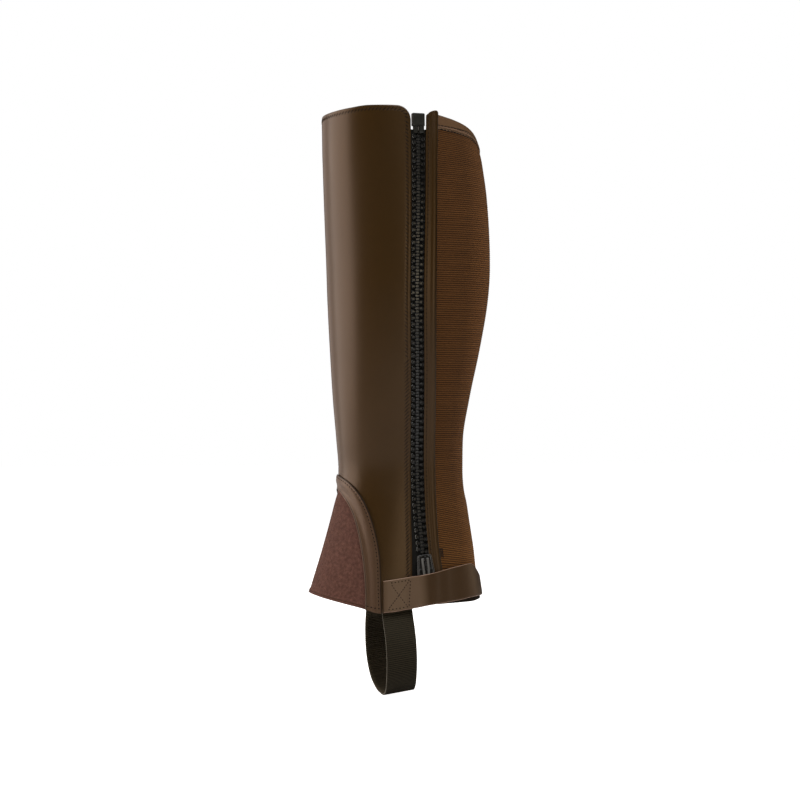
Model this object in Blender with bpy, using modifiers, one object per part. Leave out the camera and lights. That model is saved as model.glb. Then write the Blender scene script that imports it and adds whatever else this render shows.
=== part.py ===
# Half chap for the left leg, filled out as it is when worn, modelled panel by panel.
# Metres, +Z up. -X is the shin, +X the calf, -Y the outer side with the zip.
# The origin is on the leg's axis, level with the widest part of the calf.

import math
from collections import namedtuple

import bmesh
import bpy
from mathutils import Matrix, Vector

# Walls and gaps
LEATHER = 0.0018            # main leather, facing and ankle strap
STRIP_LEATHER = 0.0014      # skived leather of the curved strip
BINDING = 0.0010            # folded tape along the calf's top edge
ELASTIC = 0.0016            # calf panel and foot strap
GUSSET_ELASTIC = 0.0012
TAPE = 0.0010
SEAM = 0.0003               # clear gap between two sewn pieces

# Levels, measured outwards from the leather's outer face
UNDER = -(LEATHER + SEAM)   # outer face of what lies under the leather
RIB_HEIGHT = 0.00035
CHAIN_FACE = -0.0009
CHAIN_DEPTH = 0.0034

# The leg form: outer face of the leather at each height
Section = namedtuple("Section", "height front back half_width")
FORM = (
    Section(-0.3000, -0.0930, 0.0676, 0.0459),
    Section(-0.2762, -0.0856, 0.0643, 0.0445),
    Section(-0.2590, -0.0803, 0.0617, 0.0432),
    Section(-0.2422, -0.0751, 0.0598, 0.0418),
    Section(-0.2168, -0.0680, 0.0558, 0.0401),
    Section(-0.2020, -0.0641, 0.0535, 0.0394),
    Section(-0.1912, -0.0611, 0.0512, 0.0391),
    Section(-0.1740, -0.0586, 0.0500, 0.0391),
    Section(-0.1488, -0.0604, 0.0503, 0.0410),
    Section(-0.1148, -0.0633, 0.0556, 0.0450),
    Section(-0.0722, -0.0659, 0.0646, 0.0498),
    Section(-0.0300, -0.0680, 0.0718, 0.0528),
    Section(0.0000, -0.0690, 0.0736, 0.0535),
    Section(0.0552, -0.0711, 0.0710, 0.0530),
    Section(0.0800, -0.0719, 0.0676, 0.0522),
    Section(0.0920, -0.0723, 0.0654, 0.0518),
    Section(0.1040, -0.0725, 0.0616, 0.0513),
    Section(0.1160, -0.0727, 0.0565, 0.0507),
    Section(0.1400, -0.0729, 0.0490, 0.0495),
)

# The two rims, by angle from the shin round the outer side, in degrees
Rim = namedtuple("Rim", "angle hem top")
RIMS = (
    Rim(0.0, -0.2765, 0.1243),
    Rim(20.0, -0.2784, 0.1258),
    Rim(45.0, -0.2829, 0.1283),
    Rim(62.0, -0.2872, 0.1299),
    Rim(77.5, -0.2918, 0.1298),
    Rim(90.0, -0.2897, 0.1290),
    Rim(105.0, -0.2858, 0.1266),
    Rim(112.0, -0.2851, 0.1242),
    Rim(120.0, -0.2846, 0.1225),
    Rim(137.0, -0.2842, 0.1191),
    Rim(151.0, -0.2840, 0.1160),
    Rim(162.0, -0.2834, 0.1126),
    Rim(174.0, -0.2823, 0.1072),
    Rim(190.0, -0.2808, 0.1020),
    Rim(215.0, -0.2818, 0.1014),
    Rim(255.0, -0.2870, 0.1070),
    Rim(282.5, -0.2918, 0.1120),
    Rim(300.0, -0.2869, 0.1150),
    Rim(315.0, -0.2829, 0.1180),
    Rim(340.0, -0.2784, 0.1223),
    Rim(360.0, -0.2765, 0.1243),
)
HEM_LEVEL = -0.2880         # level of the hem in the flat pattern
TOP_LEVEL = 0.1280
HEM_BLEND = -0.2150         # the hem's rise and fall die out at this level
TOP_BLEND = 0.0300

# The zip: its centre line, the leather's edge in front of it and the facing behind it
ZipRow = namedtuple("ZipRow", "height centre front_gap facing_near facing_far")
ZIP = (
    ZipRow(-0.2950, 0.0122, 0.0156, 0.0050, 0.0166),
    ZipRow(-0.2620, 0.0086, 0.0119, 0.0050, 0.0160),
    ZipRow(-0.2422, 0.0065, 0.0096, 0.0049, 0.0150),
    ZipRow(-0.2350, 0.0059, 0.0090, 0.0049, 0.0148),
    ZipRow(-0.2150, 0.0040, 0.0076, 0.0052, 0.0154),
    ZipRow(-0.1980, 0.0030, 0.0067, 0.0055, 0.0156),
    ZipRow(-0.1810, 0.0023, 0.0062, 0.0057, 0.0158),
    ZipRow(-0.1150, 0.0012, 0.0059, 0.0057, 0.0158),
    ZipRow(-0.0240, -0.0007, 0.0058, 0.0057, 0.0161),
    ZipRow(0.0500, 0.0004, 0.0062, 0.0058, 0.0157),
    ZipRow(0.0980, 0.0008, 0.0066, 0.0061, 0.0164),
    ZipRow(0.1400, 0.0009, 0.0067, 0.0070, 0.0192),
)
CORNER_RADIUS = 0.0110      # top corner of the leather beside the zip
TOP_CORNER_BLEND = 0.0800   # above this level the corner's rounding comes in
EAR_RADIUS = 0.0095         # top corner of the facing
EAR_RISE = 0.0026           # its rear edge stands this much over the binding beside it
EAR_BLEND = 0.1000
CHAIN_WIDTH = 0.0092
CHAIN_TOP = 0.1121
CHAIN_END = -0.2431
TAPE_LAP = 0.0045           # how far the front tape runs under the leather
TAPE_BACK_EDGE = 0.0094
TAPE_TOP = 0.1175
TAPE_NARROW = 0.1045        # above this height the tape is trimmed back
TAPE_TRIM = 0.0078
BOX_WIDTH = 0.0110
BOX_DEPTH = 0.0044
BOX_HEIGHT = 0.0110
BOX_FACE = 0.0003
BOX_TAPER = 0.0008
BOX_CORNER = 0.0009

# Calf panel: elastic from under the facing to under the inner leather edge
CALF_NEAR = 0.0098
INNER_SEAM = 215.0
SEAM_LAP = 0.0080
CALF_COLUMNS = 8
CALF_ROWS = 32
RIB_SUBROWS = 12            # two to each rib
CALF_FACE = UNDER - 0.0001  # crests of the ribs
CALF_TOP_CLEAR = 0.0028     # its top edge stops inside the binding
BINDING_DEPTH = 0.0118      # beside the facing; it narrows towards the back
BINDING_NARROW = 0.0096
BINDING_NARROW_AT = 0.35    # share of the way across the calf panel
BINDING_STAND = 0.0013      # outer face of the binding, out from the elastic's crests
BINDING_GAP = 0.0008        # from its ends to the leather beside them

# Curved strip over the front gusset: outer and inner edge, from the shin to the hem
Arch = namedtuple("Arch", "row outer_angle outer_level inner_angle inner_level")
ARCH = (
    Arch(0.0, 0.0, -0.1775, 0.0, -0.1895),
    Arch(1.0, 14.0, -0.1796, 12.0, -0.1915),
    Arch(2.0, 28.0, -0.1832, 23.0, -0.1958),
    Arch(3.0, 40.2, -0.1893, 33.0, -0.2018),
    Arch(4.0, 50.5, -0.1983, 41.2, -0.2102),
    Arch(5.0, 58.8, -0.2103, 47.8, -0.2210),
    Arch(6.0, 65.6, -0.2255, 53.3, -0.2340),
    Arch(7.0, 70.7, -0.2422, 58.2, -0.2480),
    Arch(8.0, 73.5, -0.2575, 62.0, -0.2615),
    Arch(9.0, 75.3, -0.2725, 64.6, -0.2750),
    Arch(10.0, 77.4, -0.2880, 66.5, -0.2880),
)
SHIN_EDGE = 0.30            # where the shin panel ends, as a share across the strip
GUSSET_EDGE = 0.70          # where the gusset starts under the strip
GUSSET_TOP_ANGLE = 7.0

# Profile across the strip: share of its width, and how far its outer face stands out
Step = namedtuple("Step", "share stand")
STRIP_STEPS = (
    Step(0.00, 0.0018),
    Step(0.17, 0.0018),
    Step(0.34, 0.0017),
    Step(0.52, 0.0009),
    Step(0.69, -0.0001),
    Step(0.85, -0.0004),
    Step(1.00, -0.0004),
)
STRIP_ROWS = 22             # rows on each side of the shin

# Ankle strap, by angle: its two edges and how far its inner face stands off
Strap = namedtuple("Strap", "angle lower upper lift")
STRAP = (
    Strap(75.0, -0.2913, -0.2651, 0.0004),
    Strap(84.0, -0.2905, -0.2635, 0.0004),
    Strap(91.0, -0.2890, -0.2621, 0.0005),
    Strap(95.0, -0.2880, -0.2612, 0.0020),
    Strap(99.0, -0.2868, -0.2604, 0.0043),
    Strap(104.0, -0.2855, -0.2593, 0.0050),
    Strap(109.0, -0.2847, -0.2583, 0.0043),
    Strap(114.0, -0.2842, -0.2573, 0.0020),
    Strap(120.0, -0.2836, -0.2561, 0.0004),
    Strap(125.0, -0.2831, -0.2552, -0.0010),
    Strap(131.0, -0.2825, -0.2543, -0.0016),
    Strap(147.0, -0.2806, -0.2526, -0.0016),
    Strap(154.0, -0.2804, -0.2542, -0.0016),
    Strap(161.0, -0.2803, -0.2584, -0.0016),
    Strap(169.0, -0.2800, -0.2624, -0.0016),
    Strap(180.0, -0.2794, -0.2634, -0.0016),
    Strap(204.0, -0.2780, -0.2588, -0.0015),
    Strap(212.0, -0.2775, -0.2565, 0.0004),
    Strap(228.0, -0.2795, -0.2555, 0.0005),
    Strap(254.0, -0.2830, -0.2566, 0.0005),
)
STRAP_START = 78.4          # its stitched end follows the curved strip
STRAP_LEAN = 2.7
STRAP_COLUMNS = 44
SNAP_ANGLE = 245.0
SNAP_RADIUS = 0.0068
SNAP_HEIGHT = 0.0024
SNAP_BEVEL = 0.0008

# Foot strap: half of its loop, from inside the outer hem to the lowest point
Loop = namedtuple("Loop", "step half_span height front")
LOOP = (
    Loop(0.0, 0.0404, -0.2790, -0.0283),
    Loop(1.0, 0.0414, -0.2900, -0.0283),
    Loop(2.0, 0.0455, -0.2985, -0.0281),
    Loop(3.0, 0.0515, -0.3080, -0.0277),
    Loop(4.0, 0.0552, -0.3180, -0.0272),
    Loop(5.0, 0.0558, -0.3285, -0.0267),
    Loop(6.0, 0.0530, -0.3390, -0.0261),
    Loop(7.0, 0.0465, -0.3485, -0.0253),
    Loop(8.0, 0.0365, -0.3565, -0.0242),
    Loop(9.0, 0.0200, -0.3625, -0.0228),
    Loop(10.0, 0.0000, -0.3645, -0.0218),
)
LOOP_ROWS = 18              # rows on each side of the lowest point
FOOT_STRAP_WIDTH = 0.0251
FOOT_STRAP_SLOPE = 0.16     # its rear edge hangs higher, in line with the hem

# Slider and pull, measured down from the slider's upper end and out from the leather
SLIDER_TOP = -0.2437
SLIDER_LENGTH = 0.0175
SLIDER_NARROW = 0.0100
SLIDER_WIDE = 0.0148
PLATE_LOW = 0.0003
PLATE_HIGH = 0.0015
CORE_WIDTH = 0.0086
BACK_PLATE_HIGH = -0.0039
BACK_PLATE_LOW = -0.0052
PLATE_CORNER = 0.0018
CORE_INSET = 0.0006         # the core stops short of the plates at the upper end
CORE_SHORT = 0.0020         # and at the lower end
MERGE = 0.0004              # how far one part of the slider runs into the next
CROWN_WIDTH = 0.0022
CROWN_START = 0.0012
CROWN_END = 0.0122
CROWN_POST = 0.0013
CROWN_OPENING = 0.0018      # height of the opening under the crown
CROWN_WALL = 0.0010
PULL_AXIS = 0.0034          # the pull's cross bar turns about this line
PULL_BAR = 0.0012
PULL_TOP_WIDTH = 0.0056
PULL_END_WIDTH = 0.0046
PULL_LENGTH = 0.0260
PULL_CORNER = 0.0010
PULL_STAND = 0.0003         # its gap over the plate
HOLE_WIDTH = 0.0032
HOLE_LENGTH = 0.0094
EDGE_BEVEL = 0.0003

# Finishes
Finish = namedtuple("Finish", "colour roughness metallic")
BROWN_LEATHER = Finish((0.060, 0.034, 0.020), 0.42, 0.0)
BINDING_LEATHER = Finish((0.064, 0.036, 0.021), 0.45, 0.0)
BROWN_ELASTIC = Finish((0.085, 0.038, 0.016), 0.80, 0.0)
RUST_ELASTIC = Finish((0.150, 0.072, 0.055), 0.85, 0.0)
BLACK_ELASTIC = Finish((0.017, 0.015, 0.010), 0.80, 0.0)
ZIP_PLASTIC = Finish((0.012, 0.012, 0.013), 0.35, 0.0)
ZIP_FABRIC = Finish((0.016, 0.015, 0.015), 0.85, 0.0)
SLIDER_METAL = Finish((0.020, 0.020, 0.022), 0.30, 0.6)
SNAP_METAL = Finish((0.030, 0.027, 0.024), 0.35, 0.8)


def read(rows, at):
    """The row at this value of the first column, on a smooth curve with no overshoot."""
    last = len(rows) - 2
    i = 0
    while i < last and rows[i + 1][0] < at:
        i += 1
    step = rows[i + 1][0] - rows[i][0]
    t = (at - rows[i][0]) / step

    def chord(j, column):
        return (rows[j + 1][column] - rows[j][column]) / (rows[j + 1][0] - rows[j][0])

    def slope(j, column):
        before = chord(max(j - 1, 0), column)
        after = chord(min(j, last), column)
        if before * after <= 0:
            return 0.0
        mean = (before + after) / 2
        limit = 3 * min(abs(before), abs(after))
        return math.copysign(min(abs(mean), limit), mean)

    values = []
    for column in range(len(rows[i])):
        values.append(
            rows[i][column] * (2 * t**3 - 3 * t**2 + 1)
            + slope(i, column) * step * (t**3 - 2 * t**2 + t)
            + rows[i + 1][column] * (3 * t**2 - 2 * t**3)
            + slope(i + 1, column) * step * (t**3 - t**2)
        )
    return type(rows[i])(*values)


def skin(angle, height, lift):
    """A point on the leg form, by angle in degrees, moved out along the form's normal."""
    form = read(FORM, height)
    centre = (form.front + form.back) / 2
    reach = (form.back - form.front) / 2
    turn = math.radians(angle)
    normal = Vector((-math.cos(turn) / reach, -math.sin(turn) / form.half_width, 0.0))
    point = Vector((centre - reach * math.cos(turn), -form.half_width * math.sin(turn), height))
    return point + normal.normalized() * lift


def height_of(angle, level):
    """The real height of a level of the flat pattern, which follows both rims."""
    rim = read(RIMS, angle % 360.0)
    near_hem = max(0.0, (HEM_BLEND - level) / (HEM_BLEND - HEM_LEVEL))
    near_top = max(0.0, (level - TOP_BLEND) / (TOP_LEVEL - TOP_BLEND))
    return level + (rim.hem - HEM_LEVEL) * near_hem + (rim.top - TOP_LEVEL) * near_top


def zip_angle(height, offset):
    """The angle of a point this far behind the zip's centre line, along the surface."""
    form = read(FORM, height)
    centre = (form.front + form.back) / 2
    reach = (form.back - form.front) / 2
    turn = math.acos((centre - read(ZIP, height).centre) / reach)
    stretch = math.hypot(reach * math.sin(turn), form.half_width * math.cos(turn))
    return math.degrees(turn + offset / stretch)


def beside_zip(level, offset, drop=0.0):
    """Angle of an edge beside the zip at a pattern level; offset(row) is its distance."""
    height = level - drop
    for _ in range(3):
        angle = zip_angle(height, offset(read(ZIP, height)))
        height = height_of(angle, level) - drop
    return angle


def arch_point(share, across):
    """Angle and level on the curved strip: share 0 is the shin, 1 the outer hem."""
    row = read(ARCH, share * ARCH[-1].row)
    angle = row.outer_angle + (row.inner_angle - row.outer_angle) * across
    level = row.outer_level + (row.inner_level - row.outer_level) * across
    return angle, level


def share_at_angle(angle, across):
    """The share of the way down the strip at which it reaches this angle."""
    low, high = 0.0, 1.0
    for _ in range(40):
        middle = (low + high) / 2
        if arch_point(middle, across)[0] < angle:
            low = middle
        else:
            high = middle
    return low


def material(name, finish):
    made = bpy.data.materials.new(name)
    made.use_nodes = True
    shader = made.node_tree.nodes["Principled BSDF"]
    shader.inputs["Base Color"].default_value = (*finish.colour, 1.0)
    shader.inputs["Roughness"].default_value = finish.roughness
    shader.inputs["Metallic"].default_value = finish.metallic
    return made


def laid_grid(bm, columns, rows, place):
    """A flat grid whose points are laid where place(across, up) says, both from 0 to 1."""
    made = bmesh.ops.create_grid(bm, x_segments=columns, y_segments=rows, size=0.5)
    for vert in made["verts"]:
        vert.co = place(vert.co.x + 0.5, vert.co.y + 0.5)


def link(name, bm, finish, group):
    mesh = bpy.data.meshes.new(name)
    bm.to_mesh(mesh)
    bm.free()
    mesh.materials.append(material(name, finish))
    mesh.shade_smooth()
    mesh.set_sharp_from_angle(angle=math.radians(40))
    piece = bpy.data.objects.new(name, mesh)
    group.objects.link(piece)
    return piece


def panel(name, grids, thickness, finish):
    """An open sheet of one or more grids, walled inwards."""
    bm = bmesh.new()
    for columns, rows, place in grids:
        laid_grid(bm, columns, rows, place)
    bmesh.ops.remove_doubles(bm, verts=bm.verts, dist=0.00001)
    piece = link(name, bm, finish, parts)
    wall = piece.modifiers.new("Wall", "SOLIDIFY")
    wall.thickness = thickness
    wall.offset = -1.0
    wall.use_even_offset = True
    return piece


# Shin panel: one piece of leather from the zip round the shin to the inner seam

SHIN_LOW_ROWS = 14          # rows up the gusset's arch
SHIN_HIGH_ROWS = 18         # rows up the shin
SHIN_ROWS = SHIN_LOW_ROWS + SHIN_HIGH_ROWS
SHIN_ROW_CROWD = 1.25       # rows crowd towards the arch's apex
SHIN_OUTER_COLUMNS = 13
SHIN_INNER_COLUMNS = 14
SHIN_COLUMN_CROWD = 1.35    # columns crowd towards the zip


def shin_front(up):
    """Angle and level of the panel's front line: the gusset's arch, then the shin."""
    split = SHIN_LOW_ROWS / SHIN_ROWS
    if up < split:
        return arch_point(1 - up / split, SHIN_EDGE)
    apex = arch_point(0.0, SHIN_EDGE)[1]
    rise = ((up - split) / (1 - split)) ** SHIN_ROW_CROWD
    return 0.0, apex + (TOP_LEVEL - apex) * rise


def corner_drop(distance, radius):
    """How far a rounded top corner drops at this distance from the side edge."""
    if distance >= radius:
        return 0.0
    return radius - math.sqrt(max(0.0, radius**2 - (radius - distance) ** 2))


def shin_outer(across, up):
    """Outer half, from the shin at 0 to the zip at 1."""

    def gap(row):
        return -row.front_gap

    start, level = shin_front(up)
    edge = beside_zip(level, gap)
    share = 1 - (1 - across) ** SHIN_COLUMN_CROWD
    form = read(FORM, level)
    distance = math.radians(edge - start) * (1 - share) * (form.back - form.front) / 2
    near_top = max(0.0, (level - TOP_CORNER_BLEND) / (TOP_LEVEL - TOP_CORNER_BLEND))
    drop = corner_drop(distance, CORNER_RADIUS) * near_top
    angle = start + (beside_zip(level, gap, drop) - start) * share
    return skin(angle, height_of(angle, level) - drop, 0.0)


def seam_lap(level):
    """The lap at the inner seam as an angle."""
    form = read(FORM, level)
    return math.degrees(SEAM_LAP / ((form.back - form.front) / 2))


def shin_inner(across, up):
    """Inner half, from the inner seam at 0 to the shin at 1; its first column is the lap."""
    start, level = shin_front(up)
    seam = INNER_SEAM - 360.0
    lapped = seam + seam_lap(level)
    first = 1 / SHIN_INNER_COLUMNS
    if across < first / 2:
        angle = seam
    else:
        angle = lapped + (-start - lapped) * (across - first) / (1 - first)
    return skin(angle, height_of(angle, level), 0.0)


def make_shin_panel():
    grids = [
        (SHIN_OUTER_COLUMNS, SHIN_ROWS, shin_outer),
        (SHIN_INNER_COLUMNS, SHIN_ROWS, shin_inner),
    ]
    panel("shin_panel", grids, LEATHER, BROWN_LEATHER)


# Calf panel: elastic with raised cross ribs on its outer face

CALF_TOP = TOP_LEVEL - CALF_TOP_CLEAR


def calf_edges(level):
    """Angles of the calf panel's two side edges."""
    return beside_zip(level, lambda row: CALF_NEAR), INNER_SEAM + seam_lap(level)


def calf_column(index, level, lift):
    """A point on one of the calf panel's column lines."""
    near, far = calf_edges(level)
    angle = near + (far - near) * index / CALF_COLUMNS
    return skin(angle, height_of(angle, level), lift)


def calf_point(across, level, lift):
    """A point on the calf panel's flat facets, moved out."""
    place = min(max(across, 0.0), 1.0) * CALF_COLUMNS
    index = min(int(place), CALF_COLUMNS - 1)
    low = calf_column(index, level, lift)
    high = calf_column(index + 1, level, lift)
    return low.lerp(high, place - index)


def sink_grooves(bm, across_layer, up_layer, inner_verts):
    """Every second subrow of the outer face sinks in, clear of the two side edges."""
    subrow = 1 / (CALF_ROWS * RIB_SUBROWS)
    column = 1 / CALF_COLUMNS
    for vert in bm.verts:
        odd = round(vert[up_layer] / subrow) % 2
        if odd and column / 2 < vert[across_layer] < 1 - column / 2:
            form = read(FORM, vert.co.z)
            middle = Vector(((form.front + form.back) / 2, 0.0, vert.co.z))
            vert.co -= (vert.co - middle).normalized() * RIB_HEIGHT


def make_calf_panel():
    bm = bmesh.new()
    across_layer = bm.verts.layers.float.new("across")
    up_layer = bm.verts.layers.float.new("up")
    bmesh.ops.create_grid(bm, x_segments=CALF_COLUMNS, y_segments=CALF_ROWS, size=0.5)
    for vert in bm.verts:
        vert[across_layer] = vert.co.x + 0.5
        vert[up_layer] = vert.co.y + 0.5
    outer = bm.verts[:] + bm.edges[:] + bm.faces[:]
    uprights = [edge for edge in bm.edges if abs(edge.verts[0].co.x - edge.verts[1].co.x) < 0.01]
    inner = bmesh.ops.duplicate(bm, geom=outer)["geom"]
    inner_faces = [item for item in inner if isinstance(item, bmesh.types.BMFace)]
    inner_verts = [item for item in inner if isinstance(item, bmesh.types.BMVert)]
    bmesh.ops.reverse_faces(bm, faces=inner_faces)
    for vert in bm.verts:
        lift = CALF_FACE
        if vert in inner_verts:
            lift = CALF_FACE - ELASTIC
        level = HEM_LEVEL + (CALF_TOP - HEM_LEVEL) * vert[up_layer]
        vert.co = calf_column(round(vert[across_layer] * CALF_COLUMNS), level, lift)
    bmesh.ops.bridge_loops(bm, edges=[edge for edge in bm.edges if edge.is_boundary])
    bmesh.ops.subdivide_edges(bm, edges=uprights, cuts=RIB_SUBROWS - 1)
    sink_grooves(bm, across_layer, up_layer, inner_verts)
    link("calf_panel", bm, BROWN_ELASTIC, parts)


# Folded binding over the calf panel's top edge

# Path round the fold, from the outer lower edge to the inner one
Fold = namedtuple("Fold", "below through")
FOLDS = (
    Fold(BINDING_DEPTH, 0.0),
    Fold(0.0016, 0.0),
    Fold(0.0004, 0.14),
    Fold(0.0, 0.5),
    Fold(0.0004, 0.86),
    Fold(0.0016, 1.0),
    Fold(BINDING_DEPTH, 1.0),
)


def calf_share(level, angle):
    """How far across the calf panel an angle lies, from 0 to 1."""
    near, far = calf_edges(level)
    return (angle - near) / (far - near)


def make_calf_binding():
    outer = CALF_FACE + BINDING_STAND
    inner = CALF_FACE - ELASTIC - SEAM - BINDING
    steps = len(FOLDS) - 1
    row_below = CALF_TOP - (CALF_TOP - HEM_LEVEL) / CALF_ROWS
    near = beside_zip(TOP_LEVEL, lambda row: row.facing_far + BINDING_GAP)
    start = calf_share(TOP_LEVEL, near)
    end = calf_share(TOP_LEVEL, INNER_SEAM - seam_lap(TOP_LEVEL) * BINDING_GAP / SEAM_LAP)

    def place(across, up):
        fold = FOLDS[round(up * steps)]
        share = min(max(across, start), end)
        narrowing = min(1.0, share / BINDING_NARROW_AT)
        depth = BINDING_DEPTH + (BINDING_NARROW - BINDING_DEPTH) * narrowing
        level = TOP_LEVEL - min(fold.below, depth)
        lift = outer + (inner - outer) * fold.through
        edge = calf_point(share, CALF_TOP, lift)
        lower = calf_point(share, row_below, lift)
        return edge.lerp(lower, (CALF_TOP - level) / (CALF_TOP - row_below))

    panel("calf_top_binding", [(CALF_COLUMNS, steps, place)], BINDING, BINDING_LEATHER)


# Zip: facing, tapes, chain, box, slider and pull


def make_facing():
    def place(across, up):
        level = HEM_LEVEL + (TOP_LEVEL - HEM_LEVEL) * up

        def offset(row):
            return row.facing_near + (row.facing_far - row.facing_near) * across

        row = read(ZIP, level)
        near_top = max(0.0, (level - EAR_BLEND) / (TOP_LEVEL - EAR_BLEND))
        drop = corner_drop((row.facing_far - row.facing_near) * across, EAR_RADIUS)
        drop -= EAR_RISE * math.sin(across * math.pi / 2)
        drop *= near_top
        angle = beside_zip(level, offset, drop)
        return skin(angle, height_of(angle, level) - drop, 0.0)

    panel("zip_facing", [(5, 26, place)], LEATHER, BROWN_LEATHER)


TAPE_HEM = HEM_LEVEL + 0.0040
ZIP_ROWS = 30
ZIP_STEP = (TAPE_NARROW - TAPE_HEM) / ZIP_ROWS
ZIP_HEIGHTS = [TAPE_HEM + ZIP_STEP * row for row in range(ZIP_ROWS + 1)]
SHORTEST_STEP = 0.0020
CHAIN_ROWS = [height for height in ZIP_HEIGHTS if height > CHAIN_END + SHORTEST_STEP]
CHAIN_HEIGHTS = [CHAIN_END] + CHAIN_ROWS + [CHAIN_TOP]
TAPE_HEIGHTS = ZIP_HEIGHTS + [TAPE_NARROW + SHORTEST_STEP / 2, TAPE_TOP]


def make_tapes():
    rows = len(TAPE_HEIGHTS) - 1
    chain_edge = CHAIN_WIDTH / 2 + SEAM

    def front(across, up):
        height = TAPE_HEIGHTS[round(up * rows)]
        inner = TAPE_TRIM if height > TAPE_NARROW else chain_edge
        outer = read(ZIP, height).front_gap + TAPE_LAP
        return skin(zip_angle(height, -outer + (outer - inner) * across), height, UNDER)

    def back(across, up):
        height = TAPE_HEIGHTS[round(up * rows)]
        inner = TAPE_TRIM if height > TAPE_NARROW else chain_edge
        return skin(zip_angle(height, inner + (TAPE_BACK_EDGE - inner) * across), height, UNDER)

    panel("zip_tape_front", [(3, rows, front)], TAPE, ZIP_FABRIC)
    panel("zip_tape_back", [(2, rows, back)], TAPE, ZIP_FABRIC)


def make_chain():
    rows = len(CHAIN_HEIGHTS) - 1

    def place(across, up):
        height = CHAIN_HEIGHTS[round(up * rows)]
        return skin(zip_angle(height, CHAIN_WIDTH * (across - 0.5)), height, CHAIN_FACE)

    panel("zip_chain", [(2, rows, place)], CHAIN_DEPTH, ZIP_PLASTIC)


def zip_frame(top, bottom):
    """Axes on the zip's centre line: across to the rear, inwards, and up along the zip."""
    high = skin(zip_angle(top, 0.0), top, 0.0)
    low = skin(zip_angle(bottom, 0.0), bottom, 0.0)
    up = (high - low).normalized()
    middle = (top + bottom) / 2
    angle = zip_angle(middle, 0.0)
    inward = skin(angle, middle, -1.0) - skin(angle, middle, 0.0)
    across = inward.cross(up).normalized()
    inward = up.cross(across)
    frame = Matrix((across, inward, up)).transposed().to_4x4()
    frame.translation = high
    return frame


def tapered_block(frame, widths, out, down, corner=0.0):
    """A block on the given axes, with its own width at the upper and the lower end."""
    bm = bmesh.new()
    bmesh.ops.create_cube(bm, size=1.0)
    for vert in bm.verts:
        upper = vert.co.z > 0
        vert.co.x *= widths[0] if upper else widths[1]
        vert.co.y = -out[0] if vert.co.y > 0 else -out[1]
        vert.co.z = -down[0] if upper else -down[1]
    if corner:
        outs = [edge for edge in bm.edges if abs(edge.verts[0].co.y - edge.verts[1].co.y) > 0.0001]
        bmesh.ops.bevel(
            bm, geom=outs, offset=corner, segments=3, profile=0.5, affect="EDGES", material=-1
        )
    bm.transform(frame)
    return bm


def soften(piece, width):
    rounding = piece.modifiers.new("Rounding", "BEVEL")
    rounding.width = width
    rounding.segments = 1
    rounding.limit_method = "ANGLE"
    rounding.angle_limit = math.radians(50)


def join(piece, other, how):
    cut = piece.modifiers.new("Join", "BOOLEAN")
    cut.operation = how
    cut.solver = "EXACT"
    cut.object = other
    other.hide_render = True


def make_box():
    frame = zip_frame(CHAIN_TOP + SEAM + BOX_HEIGHT, CHAIN_TOP + SEAM)
    widths = (BOX_WIDTH, BOX_WIDTH - 2 * BOX_TAPER)
    out = (BOX_FACE - BOX_DEPTH, BOX_FACE)
    bm = tapered_block(frame, widths, out, (0.0, BOX_HEIGHT), BOX_CORNER)
    soften(link("zip_retainer", bm, ZIP_PLASTIC, parts), EDGE_BEVEL)


def make_slider():
    frame = zip_frame(SLIDER_TOP, SLIDER_TOP - SLIDER_LENGTH)
    wide = (SLIDER_NARROW, SLIDER_WIDE)
    whole = (0.0, SLIDER_LENGTH)
    plate = tapered_block(frame, wide, (PLATE_LOW, PLATE_HIGH), whole, PLATE_CORNER)
    slider = link("zip_slider", plate, SLIDER_METAL, parts)
    core = tapered_block(
        frame,
        (CORE_WIDTH, CORE_WIDTH),
        (BACK_PLATE_HIGH - MERGE, PLATE_LOW + MERGE),
        (CORE_INSET, SLIDER_LENGTH - CORE_SHORT),
    )
    join(slider, link("slider_core", core, SLIDER_METAL, cutters), "UNION")
    back = tapered_block(frame, wide, (BACK_PLATE_LOW, BACK_PLATE_HIGH), whole, PLATE_CORNER)
    join(slider, link("slider_back_plate", back, SLIDER_METAL, cutters), "UNION")
    crown_top = PLATE_HIGH + CROWN_OPENING + CROWN_WALL
    crown = tapered_block(
        frame,
        (CROWN_WIDTH, CROWN_WIDTH),
        (PLATE_HIGH - MERGE, crown_top),
        (CROWN_START, CROWN_END),
    )
    join(slider, link("slider_crown", crown, SLIDER_METAL, cutters), "UNION")
    opening = tapered_block(
        frame,
        (CROWN_WIDTH * 2, CROWN_WIDTH * 2),
        (PLATE_HIGH, PLATE_HIGH + CROWN_OPENING),
        (CROWN_START + CROWN_POST, CROWN_END - CROWN_POST),
    )
    join(slider, link("crown_opening", opening, SLIDER_METAL, cutters), "DIFFERENCE")
    return frame


def make_pull(slider_frame):
    """The pull hangs from its cross bar; its own origin lies on the line it turns about."""
    low = PLATE_HIGH + PULL_STAND
    middle = low + PULL_BAR / 2
    axis = slider_frame @ Vector((0.0, -middle, -PULL_AXIS))
    turned = slider_frame.to_3x3().to_4x4()
    out = (-PULL_BAR / 2, PULL_BAR / 2)
    top = -PULL_BAR / 2
    widths = (PULL_TOP_WIDTH, PULL_END_WIDTH)
    bm = tapered_block(turned, widths, out, (top, PULL_LENGTH), PULL_CORNER)
    pull = link("zip_pull", bm, SLIDER_METAL, parts)
    pull.location = axis
    hole = tapered_block(
        turned,
        (HOLE_WIDTH, HOLE_WIDTH),
        (-PULL_BAR * 2, PULL_BAR * 2),
        (PULL_BAR / 2, PULL_BAR / 2 + HOLE_LENGTH),
    )
    cutter = link("pull_hole", hole, SLIDER_METAL, cutters)
    cutter.location = axis
    join(pull, cutter, "DIFFERENCE")


# Front gusset and the curved strip over its edge


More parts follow.
